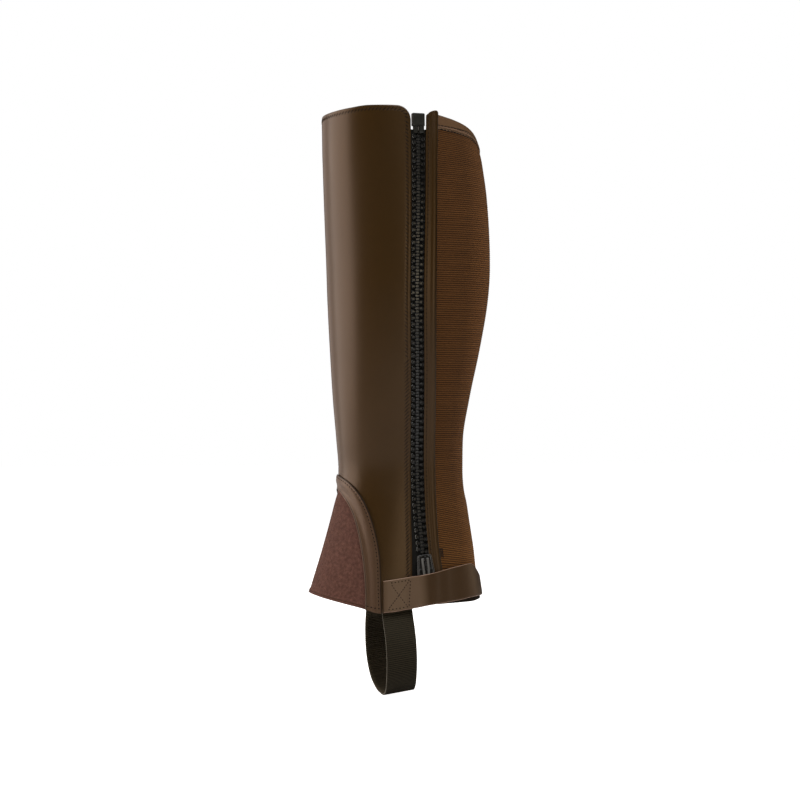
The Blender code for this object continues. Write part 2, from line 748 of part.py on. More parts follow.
def make_gusset():
    start = share_at_angle(GUSSET_TOP_ANGLE, GUSSET_EDGE)

    def place(across, up):
        angle, level = arch_point(1 - up * (1 - start), GUSSET_EDGE)
        angle *= 1 - 2 * across
        return skin(-angle, height_of(-angle, level), UNDER)

    panel("front_gusset", [(12, 12, place)], GUSSET_ELASTIC, RUST_ELASTIC)


def make_strip():
    steps = len(STRIP_STEPS) - 1

    def place(across, up):
        """Across runs over the strip's width, up from the inner hem to the outer hem."""
        step = STRIP_STEPS[round(across * steps)]
        side = 2 * up - 1
        angle, level = arch_point(abs(side), step.share)
        if side < 0:
            angle = -angle
        return skin(angle, height_of(angle, level), step.stand)

    panel("gusset_binding", [(steps, 2 * STRIP_ROWS, place)], STRIP_LEATHER, BINDING_LEATHER)


# Ankle strap with its snap


def strap_point(angle, share, lift):
    row = read(STRAP, angle)
    return skin(angle, row.lower + (row.upper - row.lower) * share, row.lift + lift)


def make_ankle_strap():
    last = STRAP[-1].angle

    def place(across, up):
        first = STRAP_START - STRAP_LEAN * up
        return strap_point(first + (last - first) * across, up, LEATHER)

    panel("ankle_strap", [(STRAP_COLUMNS, 4, place)], LEATHER, BROWN_LEATHER)


def make_snap():
    """The cap sits square on the strap, near its loose end."""
    middle = strap_point(SNAP_ANGLE, 0.5, LEATHER)
    forward = strap_point(SNAP_ANGLE + 4, 0.5, LEATHER) - strap_point(SNAP_ANGLE - 4, 0.5, LEATHER)
    upward = strap_point(SNAP_ANGLE, 0.7, LEATHER) - strap_point(SNAP_ANGLE, 0.3, LEATHER)
    outward = forward.cross(upward).normalized()
    bm = bmesh.new()
    bmesh.ops.create_cone(
        bm, cap_ends=True, segments=20, radius1=SNAP_RADIUS, radius2=SNAP_RADIUS, depth=SNAP_HEIGHT
    )
    rim = [edge for edge in bm.edges if all(vert.co.z > 0 for vert in edge.verts)]
    bmesh.ops.bevel(
        bm, geom=rim, offset=SNAP_BEVEL, segments=2, profile=0.5, affect="EDGES", material=-1
    )
    turn = Vector((0.0, 0.0, 1.0)).rotation_difference(outward).to_matrix().to_4x4()
    turn.translation = middle + outward * (SEAM + SNAP_HEIGHT / 2)
    bm.transform(turn)
    link("strap_snap", bm, SNAP_METAL, parts)


# Foot strap: an elastic loop under the instep


def make_foot_strap():
    last = LOOP[-1].step

    def place(across, up):
        """Across runs from the front edge to the rear one, up from the inner end to the outer."""
        side = 2 * up - 1
        row = read(LOOP, last * (1 - abs(side)))
        y = -row.half_span if side > 0 else row.half_span
        behind = FOOT_STRAP_WIDTH * across
        return Vector((row.front + behind, y, row.height + FOOT_STRAP_SLOPE * behind))

    panel("foot_strap", [(3, 2 * LOOP_ROWS, place)], ELASTIC, BLACK_ELASTIC)


collections = bpy.data.collections
for old in list(bpy.data.objects):
    bpy.data.objects.remove(old)
parts = collections.new("half_chap")
bpy.context.scene.collection.children.link(parts)
cutters = collections.new("cutters")
bpy.context.scene.collection.children.link(cutters)

make_shin_panel()
make_calf_panel()
make_calf_binding()
make_facing()
make_tapes()
make_chain()
make_box()
make_pull(make_slider())
make_gusset()
make_strip()
make_ankle_strap()
make_snap()
make_foot_strap()
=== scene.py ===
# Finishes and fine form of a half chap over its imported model.
# Metres, +Z up, -X the shin, -Y the outer side with the zip.
import math
from bisect import bisect_right
from collections import namedtuple

import bmesh
import bpy
from mathutils import Matrix, Vector


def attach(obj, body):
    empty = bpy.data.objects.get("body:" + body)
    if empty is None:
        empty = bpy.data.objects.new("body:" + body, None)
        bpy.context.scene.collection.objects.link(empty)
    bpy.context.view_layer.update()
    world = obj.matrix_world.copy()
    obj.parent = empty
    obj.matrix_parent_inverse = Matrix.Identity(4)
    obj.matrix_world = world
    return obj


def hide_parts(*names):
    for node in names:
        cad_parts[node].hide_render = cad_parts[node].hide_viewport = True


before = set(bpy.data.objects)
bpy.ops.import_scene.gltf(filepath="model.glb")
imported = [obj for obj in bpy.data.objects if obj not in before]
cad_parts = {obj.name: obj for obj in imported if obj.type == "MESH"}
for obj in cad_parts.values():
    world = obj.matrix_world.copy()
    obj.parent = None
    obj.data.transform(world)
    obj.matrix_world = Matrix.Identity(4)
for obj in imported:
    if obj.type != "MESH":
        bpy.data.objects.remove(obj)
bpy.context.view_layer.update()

print("frame loaded")

# Camera

cameraView = {
    "azimuth": -10.0,
    "distance": 2.0,
    "height": -0.11475,
    "leftOfAxis": 0.00595,
    "frameWidth": 0.680,  # what the frame takes in at the leg's axis
    "sensor": 36.0,
    "clip": (0.05, 60.0),
}


def makeCamera():
    turn = math.radians(cameraView["azimuth"])
    right = Vector((math.cos(turn), math.sin(turn), 0.0))
    back = Vector((math.sin(turn), -math.cos(turn), 0.0))
    camera = bpy.data.cameras.new("camera")
    camera.sensor_width = cameraView["sensor"]
    camera.lens = cameraView["sensor"] * cameraView["distance"] / cameraView["frameWidth"]
    camera.clip_start, camera.clip_end = cameraView["clip"]
    holder = bpy.data.objects.new("camera", camera)
    aim = Vector((0.0, 0.0, cameraView["height"])) - right * cameraView["leftOfAxis"]
    holder.location = aim + back * cameraView["distance"]
    holder.rotation_euler = (math.pi / 2, 0.0, turn)
    bpy.context.scene.collection.objects.link(holder)
    bpy.context.scene.camera = holder


# Smooth tables: each gives a row of named values at any value of its first column

def smoothTable(columns, rows):
    rowOf = namedtuple("rowOf", columns)
    last = len(rows) - 2
    chords = []
    for low, high in zip(rows, rows[1:]):
        chords.append([(b - a) / (high[0] - low[0]) for a, b in zip(low, high)])
    slopes = []
    for i in range(len(rows)):
        pairs = zip(chords[max(i - 1, 0)], chords[min(i, last)])
        slopes.append([limitedSlope(before, after) for before, after in pairs])
    starts = [row[0] for row in rows]

    def readAt(at):
        i = min(max(bisect_right(starts, at) - 1, 0), last)
        step = starts[i + 1] - starts[i]
        t = (at - starts[i]) / step
        fromLow = 2 * t**3 - 3 * t**2 + 1
        fromHigh = 1 - fromLow
        lowBend = step * (t**3 - 2 * t**2 + t)
        highBend = step * (t**3 - t**2)
        values = []
        for low, high, a, b in zip(rows[i], rows[i + 1], slopes[i], slopes[i + 1]):
            values.append(low * fromLow + high * fromHigh + a * lowBend + b * highBend)
        return rowOf(*values)

    return readAt


def limitedSlope(before, after):
    if before * after <= 0:
        return 0.0
    size = min(abs(before + after) / 2, 3 * abs(before), 3 * abs(after))
    return math.copysign(size, before)


legForm = smoothTable("height front back halfWidth", [
    (-0.3000, -0.0930, 0.0676, 0.0459),
    (-0.2762, -0.0856, 0.0643, 0.0445),
    (-0.2590, -0.0803, 0.0617, 0.0432),
    (-0.2422, -0.0751, 0.0598, 0.0418),
    (-0.2168, -0.0680, 0.0558, 0.0401),
    (-0.2020, -0.0641, 0.0535, 0.0394),
    (-0.1912, -0.0611, 0.0512, 0.0391),
    (-0.1740, -0.0586, 0.0500, 0.0391),
    (-0.1488, -0.0604, 0.0503, 0.0410),
    (-0.1148, -0.0633, 0.0556, 0.0450),
    (-0.0722, -0.0659, 0.0646, 0.0498),
    (-0.0300, -0.0680, 0.0718, 0.0528),
    (0.0000, -0.0690, 0.0736, 0.0535),
    (0.0552, -0.0711, 0.0710, 0.0530),
    (0.0800, -0.0719, 0.0676, 0.0522),
    (0.0920, -0.0723, 0.0654, 0.0518),
    (0.1040, -0.0725, 0.0616, 0.0513),
    (0.1160, -0.0727, 0.0565, 0.0507),
    (0.1400, -0.0729, 0.0490, 0.0495),
])

# Both rims, by angle from the shin round the outer side
rims = smoothTable("angle hem top", [
    (0.0, -0.2765, 0.1243),
    (20.0, -0.2784, 0.1258),
    (45.0, -0.2829, 0.1283),
    (62.0, -0.2872, 0.1299),
    (77.5, -0.2918, 0.1298),
    (90.0, -0.2897, 0.1290),
    (105.0, -0.2858, 0.1266),
    (112.0, -0.2851, 0.1242),
    (120.0, -0.2846, 0.1225),
    (137.0, -0.2842, 0.1191),
    (151.0, -0.2840, 0.1160),
    (162.0, -0.2834, 0.1126),
    (174.0, -0.2823, 0.1072),
    (190.0, -0.2808, 0.1020),
    (215.0, -0.2818, 0.1014),
    (255.0, -0.2870, 0.1070),
    (282.5, -0.2918, 0.1120),
    (300.0, -0.2869, 0.1150),
    (315.0, -0.2829, 0.1180),
    (340.0, -0.2784, 0.1223),
    (360.0, -0.2765, 0.1243),
])

pattern = {"hem": -0.2880, "top": 0.1280, "hemBlend": -0.2150, "topBlend": 0.0300}

# The zip's centre line, the leather's edge in front of it and the facing behind it
zipLine = smoothTable("height centre frontGap facingNear facingFar", [
    (-0.2950, 0.0122, 0.0156, 0.0050, 0.0166),
    (-0.2620, 0.0086, 0.0119, 0.0050, 0.0160),
    (-0.2422, 0.0065, 0.0096, 0.0049, 0.0150),
    (-0.2350, 0.0059, 0.0090, 0.0049, 0.0148),
    (-0.2150, 0.0040, 0.0076, 0.0052, 0.0154),
    (-0.1980, 0.0030, 0.0067, 0.0055, 0.0156),
    (-0.1810, 0.0023, 0.0062, 0.0057, 0.0158),
    (-0.1150, 0.0012, 0.0059, 0.0057, 0.0158),
    (-0.0240, -0.0007, 0.0058, 0.0057, 0.0161),
    (0.0500, 0.0004, 0.0062, 0.0058, 0.0157),
    (0.0980, 0.0008, 0.0066, 0.0061, 0.0164),
    (0.1400, 0.0009, 0.0067, 0.0070, 0.0192),
])


# The leg form as a surface: angle from the shin in degrees, real height, and lift off it

def skinNormal(angle, form):
    turn = math.radians(angle)
    reach = (form.back - form.front) / 2
    return Vector((-math.cos(turn) / reach, -math.sin(turn) / form.halfWidth, 0.0)).normalized()


def skin(angle, height, lift=0.0):
    form = legForm(height)
    turn = math.radians(angle)
    centre = (form.front + form.back) / 2
    reach = (form.back - form.front) / 2
    point = Vector((centre - reach * math.cos(turn), -form.halfWidth * math.sin(turn), height))
    return point + skinNormal(angle, form) * lift


def reachAt(height):
    form = legForm(height)
    return (form.back - form.front) / 2


def shareTo(end, start, level):
    # 0 as far as start, 1 at end
    return max(0.0, (level - start) / (end - start))


def heightOf(angle, level):
    # a level of the cut pattern, bent near the hem and the top to the heights of the rims
    rim = rims(angle % 360.0)
    nearHem = shareTo(pattern["hem"], pattern["hemBlend"], level)
    nearTop = shareTo(pattern["top"], pattern["topBlend"], level)
    return level + (rim.hem - pattern["hem"]) * nearHem + (rim.top - pattern["top"]) * nearTop


def zipAngle(height, offset):
    form = legForm(height)
    centre = (form.front + form.back) / 2
    reach = (form.back - form.front) / 2
    turn = math.acos((centre - zipLine(height).centre) / reach)
    stretch = math.hypot(reach * math.sin(turn), form.halfWidth * math.cos(turn))
    return math.degrees(turn + offset / stretch)


def besideZip(level, offset, drop=0.0):
    height = level - drop
    for _ in range(3):
        angle = zipAngle(height, offset(zipLine(height)))
        height = heightOf(angle, level) - drop
    return angle


# Meshes

weldWithin = 0.00001
thinRounding = 0.0003  # of thin cut edges
sharpEdge = math.radians(50)


def turnOutwards(bm):
    # axes given as across, out and up mirror a shape, which turns it inside out
    if bm.calc_volume(signed=True) < 0:
        bmesh.ops.reverse_faces(bm, faces=bm.faces)
    bm.normal_update()


def linkPiece(name, bm, finishes, body="chap", replaced=(), smooth=True):
    if not any(edge.is_boundary for edge in bm.edges):
        turnOutwards(bm)
    mesh = bpy.data.meshes.new(name)
    bm.to_mesh(mesh)
    bm.free()
    for finish in finishes:
        mesh.materials.append(finish)
    if smooth:
        mesh.shade_smooth()
    piece = bpy.data.objects.new(name, mesh)
    bpy.context.scene.collection.objects.link(piece)
    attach(piece, body)
    if replaced:
        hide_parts(*replaced)
    return piece


def roundEdges(bm, edges, width, segments, clamp=True):
    return bmesh.ops.bevel(bm, geom=edges, offset=width, segments=segments, profile=0.5, affect="EDGES",
                           material=-1, clamp_overlap=clamp)


def layGrid(bm, uv, across, up, place):
    # a grid over the stations across and up; place gives each point and its cloth coordinates
    columns = len(across) - 1
    rows = len(up) - 1
    made = bmesh.ops.create_grid(bm, x_segments=columns, y_segments=rows, size=0.5)["verts"]
    flat = {}
    for vert in made:
        i = round((vert.co.x + 0.5) * columns)
        j = round((vert.co.y + 0.5) * rows)
        vert.co, flat[vert] = place(across[i], up[j])
    for face in {face for vert in made for face in vert.link_faces}:
        for loop in face.loops:
            loop[uv].uv = flat[loop.vert]


def layCloth(name, grids, wall, finishes, replaced, edgeRounding=0.0, merge=False):
    bm = bmesh.new()
    uv = bm.loops.layers.uv.new("UVMap")
    for across, up, place in grids:
        layGrid(bm, uv, across, up, place)
    if merge:
        bmesh.ops.remove_doubles(bm, verts=bm.verts, dist=weldWithin)
    piece = linkPiece(name, bm, finishes, replaced=replaced)
    solid = piece.modifiers.new("Wall", "SOLIDIFY")
    solid.thickness = wall
    solid.offset = -1.0
    solid.use_even_offset = True
    if len(finishes) > 1:
        solid.material_offset = 1  # the inner face
        solid.material_offset_rim = 2  # the cut edge
    if edgeRounding:
        rounding = piece.modifiers.new("Rounding", "BEVEL")
        rounding.width = edgeRounding
        rounding.segments = 2
        rounding.limit_method = "ANGLE"
        rounding.angle_limit = sharpEdge
    return piece


def evenSteps(start, end, count):
    return [start + (end - start) * i / count for i in range(count + 1)]


def rolledEdge(distance, edge):
    return -edge["rollDrop"] * max(0.0, 1 - distance / edge["roll"]) ** 2


def turnedEdge(distance, edge):
    # a turned edge rolls down to its rim and dips along its stitch row
    off = (distance - edge["stitchAt"]) / edge["grooveWidth"]
    return rolledEdge(distance, edge) - edge["grooveDepth"] * math.exp(-off * off)


def ribCrest(row, stepsPerRib):
    return (1 + math.cos(2 * math.pi * row / stepsPerRib)) / 2


# Stitch rows

def lengthsAlong(points):
    lengths = [0.0]
    for a, b in zip(points, points[1:]):
        lengths.append(lengths[-1] + (b - a).length)
    return lengths


def evenAlong(path, pitch):
    # points a pitch apart along a path of (point, outward normal), with the path's direction
    lengths = lengthsAlong([point for point, _ in path])
    count = max(1, round(lengths[-1] / pitch))
    i = 0
    found = []
    for k in range(count):
        at = lengths[-1] * (k + 0.5) / count
        while lengths[i + 1] < at:
            i += 1
        share = (at - lengths[i]) / (lengths[i + 1] - lengths[i])
        (a, na), (b, nb) = path[i], path[i + 1]
        found.append((a.lerp(b, share), (b - a).normalized(), na.lerp(nb, share).normalized()))
    return found, lengths[-1] / count


def placeAt(point, *columns):
    place = Matrix(columns).transposed().to_4x4()
    place.translation = point
    return place


def axes(point, along, out, sizes):
    side = along.cross(out).normalized()
    out = side.cross(along).normalized()
    return placeAt(point, along * sizes[0], side * sizes[1], out * sizes[2])


def sewStitches(stitches, pitch, thread):
    bm = bmesh.new()
    for point, along, out in stitches:
        slant = Matrix.Rotation(math.radians(thread["slant"]), 3, out)
        lie = slant @ along
        sizes = (pitch * thread["cover"] / 2, thread["width"] / 2, thread["height"])
        place = axes(point + out * thread["stand"], lie, out, sizes)
        bmesh.ops.create_uvsphere(bm, u_segments=8, v_segments=6, radius=1.0, matrix=place)
        # each needle hole is a dark blob on the surface: painted shade
        hole = axes(point + along * pitch / 2, lie, out,
                    (thread["holeLong"], thread["holeWide"], thread["holeDeep"]))
        made = bmesh.ops.create_uvsphere(bm, u_segments=8, v_segments=4, radius=1.0, matrix=hole)
        for face in {face for vert in made["verts"] for face in vert.link_faces}:
            face.material_index = 1
    return bm


def sewPiece(name, rows, finishes):
    # rows: pairs of a path and its thread; a few stitches at a time, then joined
    whole = bmesh.new()
    few = 12
    for path, thread in rows:
        stitches, pitch = evenAlong(path, thread["pitch"])
        for start in range(0, len(stitches), few):
            part = sewStitches(stitches[start:start + few], pitch, thread)
            mesh = bpy.data.meshes.new("stitches")
            part.to_mesh(mesh)
            part.free()
            whole.from_mesh(mesh)
            bpy.data.meshes.remove(mesh)
    return linkPiece(name, whole, finishes)


# Shaders: the groups put out masks, heights and tones only

def newGroup(name, inputs, outputs):
    group = bpy.data.node_groups.new(name, "ShaderNodeTree")
    for label, kind, value in inputs:
        socket = group.interface.new_socket(label, in_out="INPUT", socket_type=kind)
        if value is not None:
            socket.default_value = value
    for label, kind in outputs:
        group.interface.new_socket(label, in_out="OUTPUT", socket_type=kind)
    start = group.nodes.new("NodeGroupInput")
    end = group.nodes.new("NodeGroupOutput")
    return group, start, end


def plugIn(tree, socket, value):
    if isinstance(value, bpy.types.NodeSocket):
        tree.links.new(value, socket)
    else:
        socket.default_value = value


def addNode(tree, kind, values=None, **settings):
    node = tree.nodes.new(kind)
    for key, value in settings.items():
        setattr(node, key, value)
    for key, value in (values or {}).items():
        plugIn(tree, node.inputs[key], value)
    return node


def addNoise(tree, place, scale, detail):
    node = addNode(tree, "ShaderNodeTexNoise", {"Vector": place, "Scale": scale, "Detail": detail})
    return node.outputs["Fac"]


def placeOf(tree, kind="Object"):
    return addNode(tree, "ShaderNodeTexCoord").outputs[kind]


def addMath(tree, operation, first, second=None):
    values = {0: first}
    if second is not None:
        values[1] = second
    return addNode(tree, "ShaderNodeMath", values, operation=operation).outputs[0]


def makeGrainGroup():
    # fine pores and a slow unevenness of tone
    group, start, end = newGroup(
        "leather grain",
        [("Vector", "NodeSocketVector", None), ("Pores per metre", "NodeSocketFloat", 900.0),
         ("Tone per metre", "NodeSocketFloat", 14.0)],
        [("Height", "NodeSocketFloat"), ("Tone", "NodeSocketFloat")],
    )
    place, poreScale, toneScale = start.outputs[0], start.outputs[1], start.outputs[2]
    poreShare, fineShare = 0.6, 0.4
    pores = addNode(group, "ShaderNodeTexVoronoi", {"Vector": place, "Scale": poreScale, "Randomness": 1.0})
    height = addMath(group, "ADD", addMath(group, "MULTIPLY", pores.outputs["Distance"], poreShare),
                     addMath(group, "MULTIPLY", addNoise(group, place, poreScale, 2.0), fineShare))
    group.links.new(height, end.inputs[0])
    group.links.new(addNoise(group, place, toneScale, 1.5), end.inputs[1])
    return group


def makeWeaveGroup():
    # crossing threads on cloth coordinates in metres
    group, start, end = newGroup(
        "weave",
        [("Vector", "NodeSocketVector", None), ("Along per metre", "NodeSocketFloat", 1500.0),
         ("Across per metre", "NodeSocketFloat", 1500.0), ("Unevenness", "NodeSocketFloat", 0.4)],
        [("Height", "NodeSocketFloat")],
    )
    split = addNode(group, "ShaderNodeSeparateXYZ", {0: start.outputs[0]})
    waverScale = 420.0
    waver = addMath(group, "SUBTRACT", addNoise(group, start.outputs[0], waverScale, 2.0), 0.5)
    shift = addMath(group, "MULTIPLY", waver, start.outputs[3])
    turns = []
    for axis, count in ((0, 1), (1, 2)):
        place = addMath(group, "MULTIPLY", split.outputs[axis], start.outputs[count])
        place = addMath(group, "ADD", place, shift)
        turns.append(addMath(group, "SINE", addMath(group, "MULTIPLY", place, math.pi)))
    crossed = addMath(group, "MULTIPLY", turns[0], turns[1])
    group.links.new(addMath(group, "ABSOLUTE", crossed), end.inputs[0])
    return group


def makeRibGroup():
    # rounded cross ribs on the cloth's second coordinate, 1 on a crest
    group, start, end = newGroup(
        "ribs",
        [("Vector", "NodeSocketVector", None), ("Ribs per metre", "NodeSocketFloat", 460.0)],
        [("Height", "NodeSocketFloat")],
    )
    split = addNode(group, "ShaderNodeSeparateXYZ", {0: start.outputs[0]})
    ribs = addMath(group, "MULTIPLY", split.outputs[1], start.outputs[1])
    wave = addMath(group, "COSINE", addMath(group, "MULTIPLY", ribs, 2 * math.pi))
    height = addMath(group, "MULTIPLY_ADD", wave, 0.5)
    height.node.inputs[2].default_value = 0.5
    group.links.new(height, end.inputs[0])
    return group


def makeLineGroup():
    # a soft-edged line at one value of a cloth coordinate
    group, start, end = newGroup(
        "line",
        [("Coordinate", "NodeSocketFloat", 0.0), ("At", "NodeSocketFloat", 0.0),
         ("Half width", "NodeSocketFloat", 0.0005)],
        [("Mask", "NodeSocketFloat")],
    )
    off = addMath(group, "ABSOLUTE", addMath(group, "SUBTRACT", start.outputs[0], start.outputs[1]))
    share = addMath(group, "DIVIDE", off, start.outputs[2])
    group.links.new(spread(group, share, 1.25, 0.75), end.inputs[0])
    return group


def addLines(tree, colour, lines):
    # lines: rows of coordinate (0 across, 1 along), place, half width and colour
    split = addNode(tree, "ShaderNodeSeparateXYZ", {0: placeOf(tree, "UV")})
    for axis, at, halfWidth, lineColour in lines:
        line = useGroup(tree, lineGroup,
                        {"Coordinate": split.outputs[axis], "At": at, "Half width": halfWidth})
        colour = mixColour(tree, line.outputs[0], colour, lineColour)
    return colour


def newMaterial(name, colour, roughness, specular=0.5, metallic=0.0):
    made = bpy.data.materials.new(name)
    made.use_nodes = True
    shader = made.node_tree.nodes["Principled BSDF"]
    shader.inputs["Base Color"].default_value = (*colour, 1.0)
    shader.inputs["Roughness"].default_value = roughness
    shader.inputs["Specular IOR Level"].default_value = specular
    shader.inputs["Metallic"].default_value = metallic
    return made, made.node_tree, shader


def useGroup(tree, group, values):
    return addNode(tree, "ShaderNodeGroup", values, node_tree=group)


def mixColour(tree, share, first, second, blend="MIX"):
    node = addNode(tree, "ShaderNodeMix", {0: share}, data_type="RGBA", blend_type=blend)
    for key, value in ((6, first), (7, second)):
        plain = not isinstance(value, bpy.types.NodeSocket)
        plugIn(tree, node.inputs[key], (*value, 1.0) if plain else value)
    return node.outputs[2]


def addBump(tree, shader, height, distance):
    bump = addNode(tree, "ShaderNodeBump", {"Height": height, "Distance": distance, "Strength": 1.0})
    tree.links.new(bump.outputs[0], shader.inputs["Normal"])


def spread(tree, value, low, high, outLow=0.0, outHigh=1.0):
    node = addNode(tree, "ShaderNodeMapRange",
                   {"Value": value, "From Min": low, "From Max": high, "To Min": outLow, "To Max": outHigh})
    return node.outputs[0]


def makeLeather(name, look):
    made, tree, shader = newMaterial(name, look["colour"], look["roughness"], look["specular"])
    shader.inputs["Specular Tint"].default_value = (*look["reflectTint"], 1.0)
    grain = useGroup(tree, grainGroup, {"Vector": placeOf(tree), "Pores per metre": look["pores"]})
    span = (0.2, 0.8)
    tone = spread(tree, grain.outputs["Tone"], *span)
    colour = mixColour(tree, tone, look["deep"], look["colour"])
    if "lines" in look:
        colour = addLines(tree, colour, look["lines"])
    tree.links.new(colour, shader.inputs["Base Color"])
    uneven = 0.04
    dull, shiny = look["roughness"] + uneven, look["roughness"] - uneven
    gloss = spread(tree, grain.outputs["Tone"], *span, dull, shiny)
    tree.links.new(gloss, shader.inputs["Roughness"])
    addBump(tree, shader, grain.outputs["Height"], look["poreDepth"])
    return made


def makeMatte(name, look):
    # suede and thread: a fine nap, and a tone that follows it or has patches of its own
    made, tree, shader = newMaterial(name, look["colour"], look["roughness"], look["specular"])
    place = placeOf(tree)
    nap = addNoise(tree, place, look["fine"], look["detail"])
    tone = addNoise(tree, place, look["patches"], look["detail"]) if "patches" in look else nap
    darker = [c * look["darker"] for c in look["colour"]]
    tree.links.new(mixColour(tree, tone, darker, look["colour"]), shader.inputs["Base Color"])
    addBump(tree, shader, nap, look["relief"])
    return made


dullSpecular = 0.12


def makeCloth(name, look):
    # look needs colour, deep, roughness, along, across and relief; the rest is optional
    made, tree, shader = newMaterial(name, look["colour"], look["roughness"], dullSpecular)
    cloth = placeOf(tree, "UV")
    weave = useGroup(tree, weaveGroup, {"Vector": cloth, "Along per metre": look["along"],
                                        "Across per metre": look["across"],
                                        "Unevenness": look.get("uneven", 0.4)})
    patches = addNoise(tree, placeOf(tree), look.get("patch", 45.0), 4.0)
    tone = spread(tree, patches, 0.3, 0.7, look.get("toneLow", 0.6))
    shade = addMath(tree, "MULTIPLY", weave.outputs["Height"], tone)
    colour = mixColour(tree, shade, look["deep"], look["colour"])
    # the rib grooves get a darker colour: painted shade
    if "ribs" in look:
        ribs = useGroup(tree, ribGroup, {"Vector": cloth, "Ribs per metre": look["ribs"]})
        crests = spread(tree, ribs.outputs["Height"], 0.0, 0.55)
        colour = mixColour(tree, crests, look["groove"], colour)
    if "streak" in look:
        # the ribs' tone varies along each of them
        streakAcross, streakTint = 14.0, (0.72, 0.70, 0.70)
        stretched = addNode(tree, "ShaderNodeMapping",
                            {"Vector": cloth, "Scale": (streakAcross, look["streak"], 1.0)})
        streaks = spread(tree, addNoise(tree, stretched.outputs[0], 1.0, 3.0), 0.25, 0.75)
        darker = mixColour(tree, 1.0, colour, streakTint, "MULTIPLY")
        colour = mixColour(tree, streaks, darker, colour)
    # shades scale bands paler: painted light on the elastic's far side, and a paler stretch towards its hem
    if "shades" in look:
        split = addNode(tree, "ShaderNodeSeparateXYZ", {0: cloth})
        for axis, begin, full, factor in look["shades"]:
            share = spread(tree, split.outputs[axis], begin, full)
            shaded = mixColour(tree, 1.0, colour, factor, "MULTIPLY")
            colour = mixColour(tree, share, colour, shaded)
    if "lines" in look:
        colour = addLines(tree, colour, look["lines"])
    tree.links.new(colour, shader.inputs["Base Color"])
    shader.inputs["Sheen Weight"].default_value = look.get("sheen", 0.0)
    shader.inputs["Sheen Roughness"].default_value = 0.5
    addBump(tree, shader, weave.outputs["Height"], look["relief"])
    return made


peel = {"scale": 900.0, "height": 0.00002, "patches": 130.0, "shinier": 0.06, "duller": 0.08}


def makeGloss(name, look):
    # moulded plastic and enamel: a fine orange-peel skin and slightly uneven gloss
    made, tree, shader = newMaterial(name, look["colour"], look["roughness"], look.get("specular", 0.5),
                                     look.get("metallic", 0.0))
    place = placeOf(tree)
    tone = addNoise(tree, place, peel["patches"], 3.0)
    lighter = [min(1.0, c * 1.5 + 0.004) for c in look["colour"]]
    tree.links.new(mixColour(tree, tone, look["colour"], lighter), shader.inputs["Base Color"])
    shiny, dull = look["roughness"] - peel["shinier"], look["roughness"] + peel["duller"]
    tree.links.new(spread(tree, tone, 0.3, 0.7, shiny, dull), shader.inputs["Roughness"])
    addBump(tree, shader, addNoise(tree, place, peel["scale"], 2.0), peel["height"])
    return made


grainGroup = makeGrainGroup()
weaveGroup = makeWeaveGroup()
ribGroup = makeRibGroup()
lineGroup = makeLineGroup()

leatherLook = {
    "colour": (0.0335, 0.0165, 0.0034),
    "deep": (0.0268, 0.0130, 0.0024),
    "roughness": 0.31,
    "specular": 0.38,
    "reflectTint": (1.0, 0.78, 0.64),  # the dressing warms what the leather reflects
    "pores": 1100.0,
    "poreDepth": 0.00003,
}
stripLook = {
    **leatherLook, "colour": (0.064, 0.036, 0.020), "deep": (0.052, 0.029, 0.016), "roughness": 0.38,
    # lines: the outer edge's dark edge paint with a painted shadow, painted shade along the inner seam's
    # groove, and a painted highlight on the inner edge
    "lines": [(0, 0.0, 0.0010, (0.004, 0.002, 0.001)), (0, 0.0141, 0.00035, (0.012, 0.007, 0.004)),
              (0, 0.0150, 0.0004, (0.150, 0.100, 0.075))],
}
strapLook = {
    **leatherLook, "colour": (0.046, 0.025, 0.0105), "deep": (0.038, 0.020, 0.008), "roughness": 0.36,
    "specular": 0.28,
    # painted highlight over the sewn end; then a pale line along both edges, the cut's paler edge with a
    # painted highlight along it
    "lines": [(0, 0.0130, 0.0130, (0.094, 0.062, 0.039)), (1, 0.0, 0.0005, (0.230, 0.150, 0.110))],
}
brownLeather = makeLeather("brown leather", leatherLook)
stripLeather = makeLeather("strip leather", stripLook)
strapLeather = makeLeather("strap leather", strapLook)
# painted shadow along the facing's back edge, beside the calf panel
facingShadowLine = (0, 0.0, 0.0009, (0.006, 0.003, 0.001))
facingLeather = makeLeather("facing leather", {**leatherLook, "lines": [facingShadowLine]})
edgeLook = {**leatherLook, "roughness": 0.6}
cutEdge = makeLeather("cut leather edge", {**edgeLook, "colour": (0.020, 0.011, 0.006)})
paleEdge = makeLeather("pale leather edge", {**edgeLook, "colour": (0.200, 0.135, 0.100)})
suede = makeMatte("leather back", {
    "colour": (0.085, 0.050, 0.030), "roughness": 0.9, "specular": 0.2, "fine": 700.0, "patches": 35.0,
    "detail": 3.0, "darker": 0.7, "relief": 0.00025,
})

elasticLook = {
    "colour": (0.150, 0.062, 0.016),
    "deep": (0.088, 0.036, 0.009),
    # groove: painted shade in the rib grooves
    "groove": (0.019, 0.007, 0.002),
    "streak": 556.6,
    "roughness": 0.85,
    "along": 1250.0,
    "across": 930.0,
    "relief": 0.00012,
    "ribs": 556.6,
    "shades": [(0, 0.032, 0.060, (1.80, 1.82, 1.90)), (1, 0.125, 0.035, (1.32, 1.36, 1.30))],  # painted light on the far side, towards the inner seam; paler towards the hem
    # the hem, turned and in the strap's shade; the pale band beside the binding
    "lines": [(1, 0.0, 0.0065, (0.012, 0.008, 0.004)), (1, 0.4040, 0.0018, (0.250, 0.160, 0.100))],
    "sheen": 0.02,
}
brownElastic = makeCloth("brown elastic", elasticLook)
bindingCloth = makeCloth("calf binding cloth", {
    "colour": (0.140, 0.076, 0.038), "deep": (0.102, 0.055, 0.027), "roughness": 0.55,
    "along": 1700.0, "across": 1700.0, "relief": 0.00006,
    # a paler line along the lower edge, and painted shade along the stitch groove above it
    "lines": [(1, 0.0117, 0.0015, (0.175, 0.105, 0.065)), (1, 0.0098, 0.0005, (0.022, 0.011, 0.005))],
})
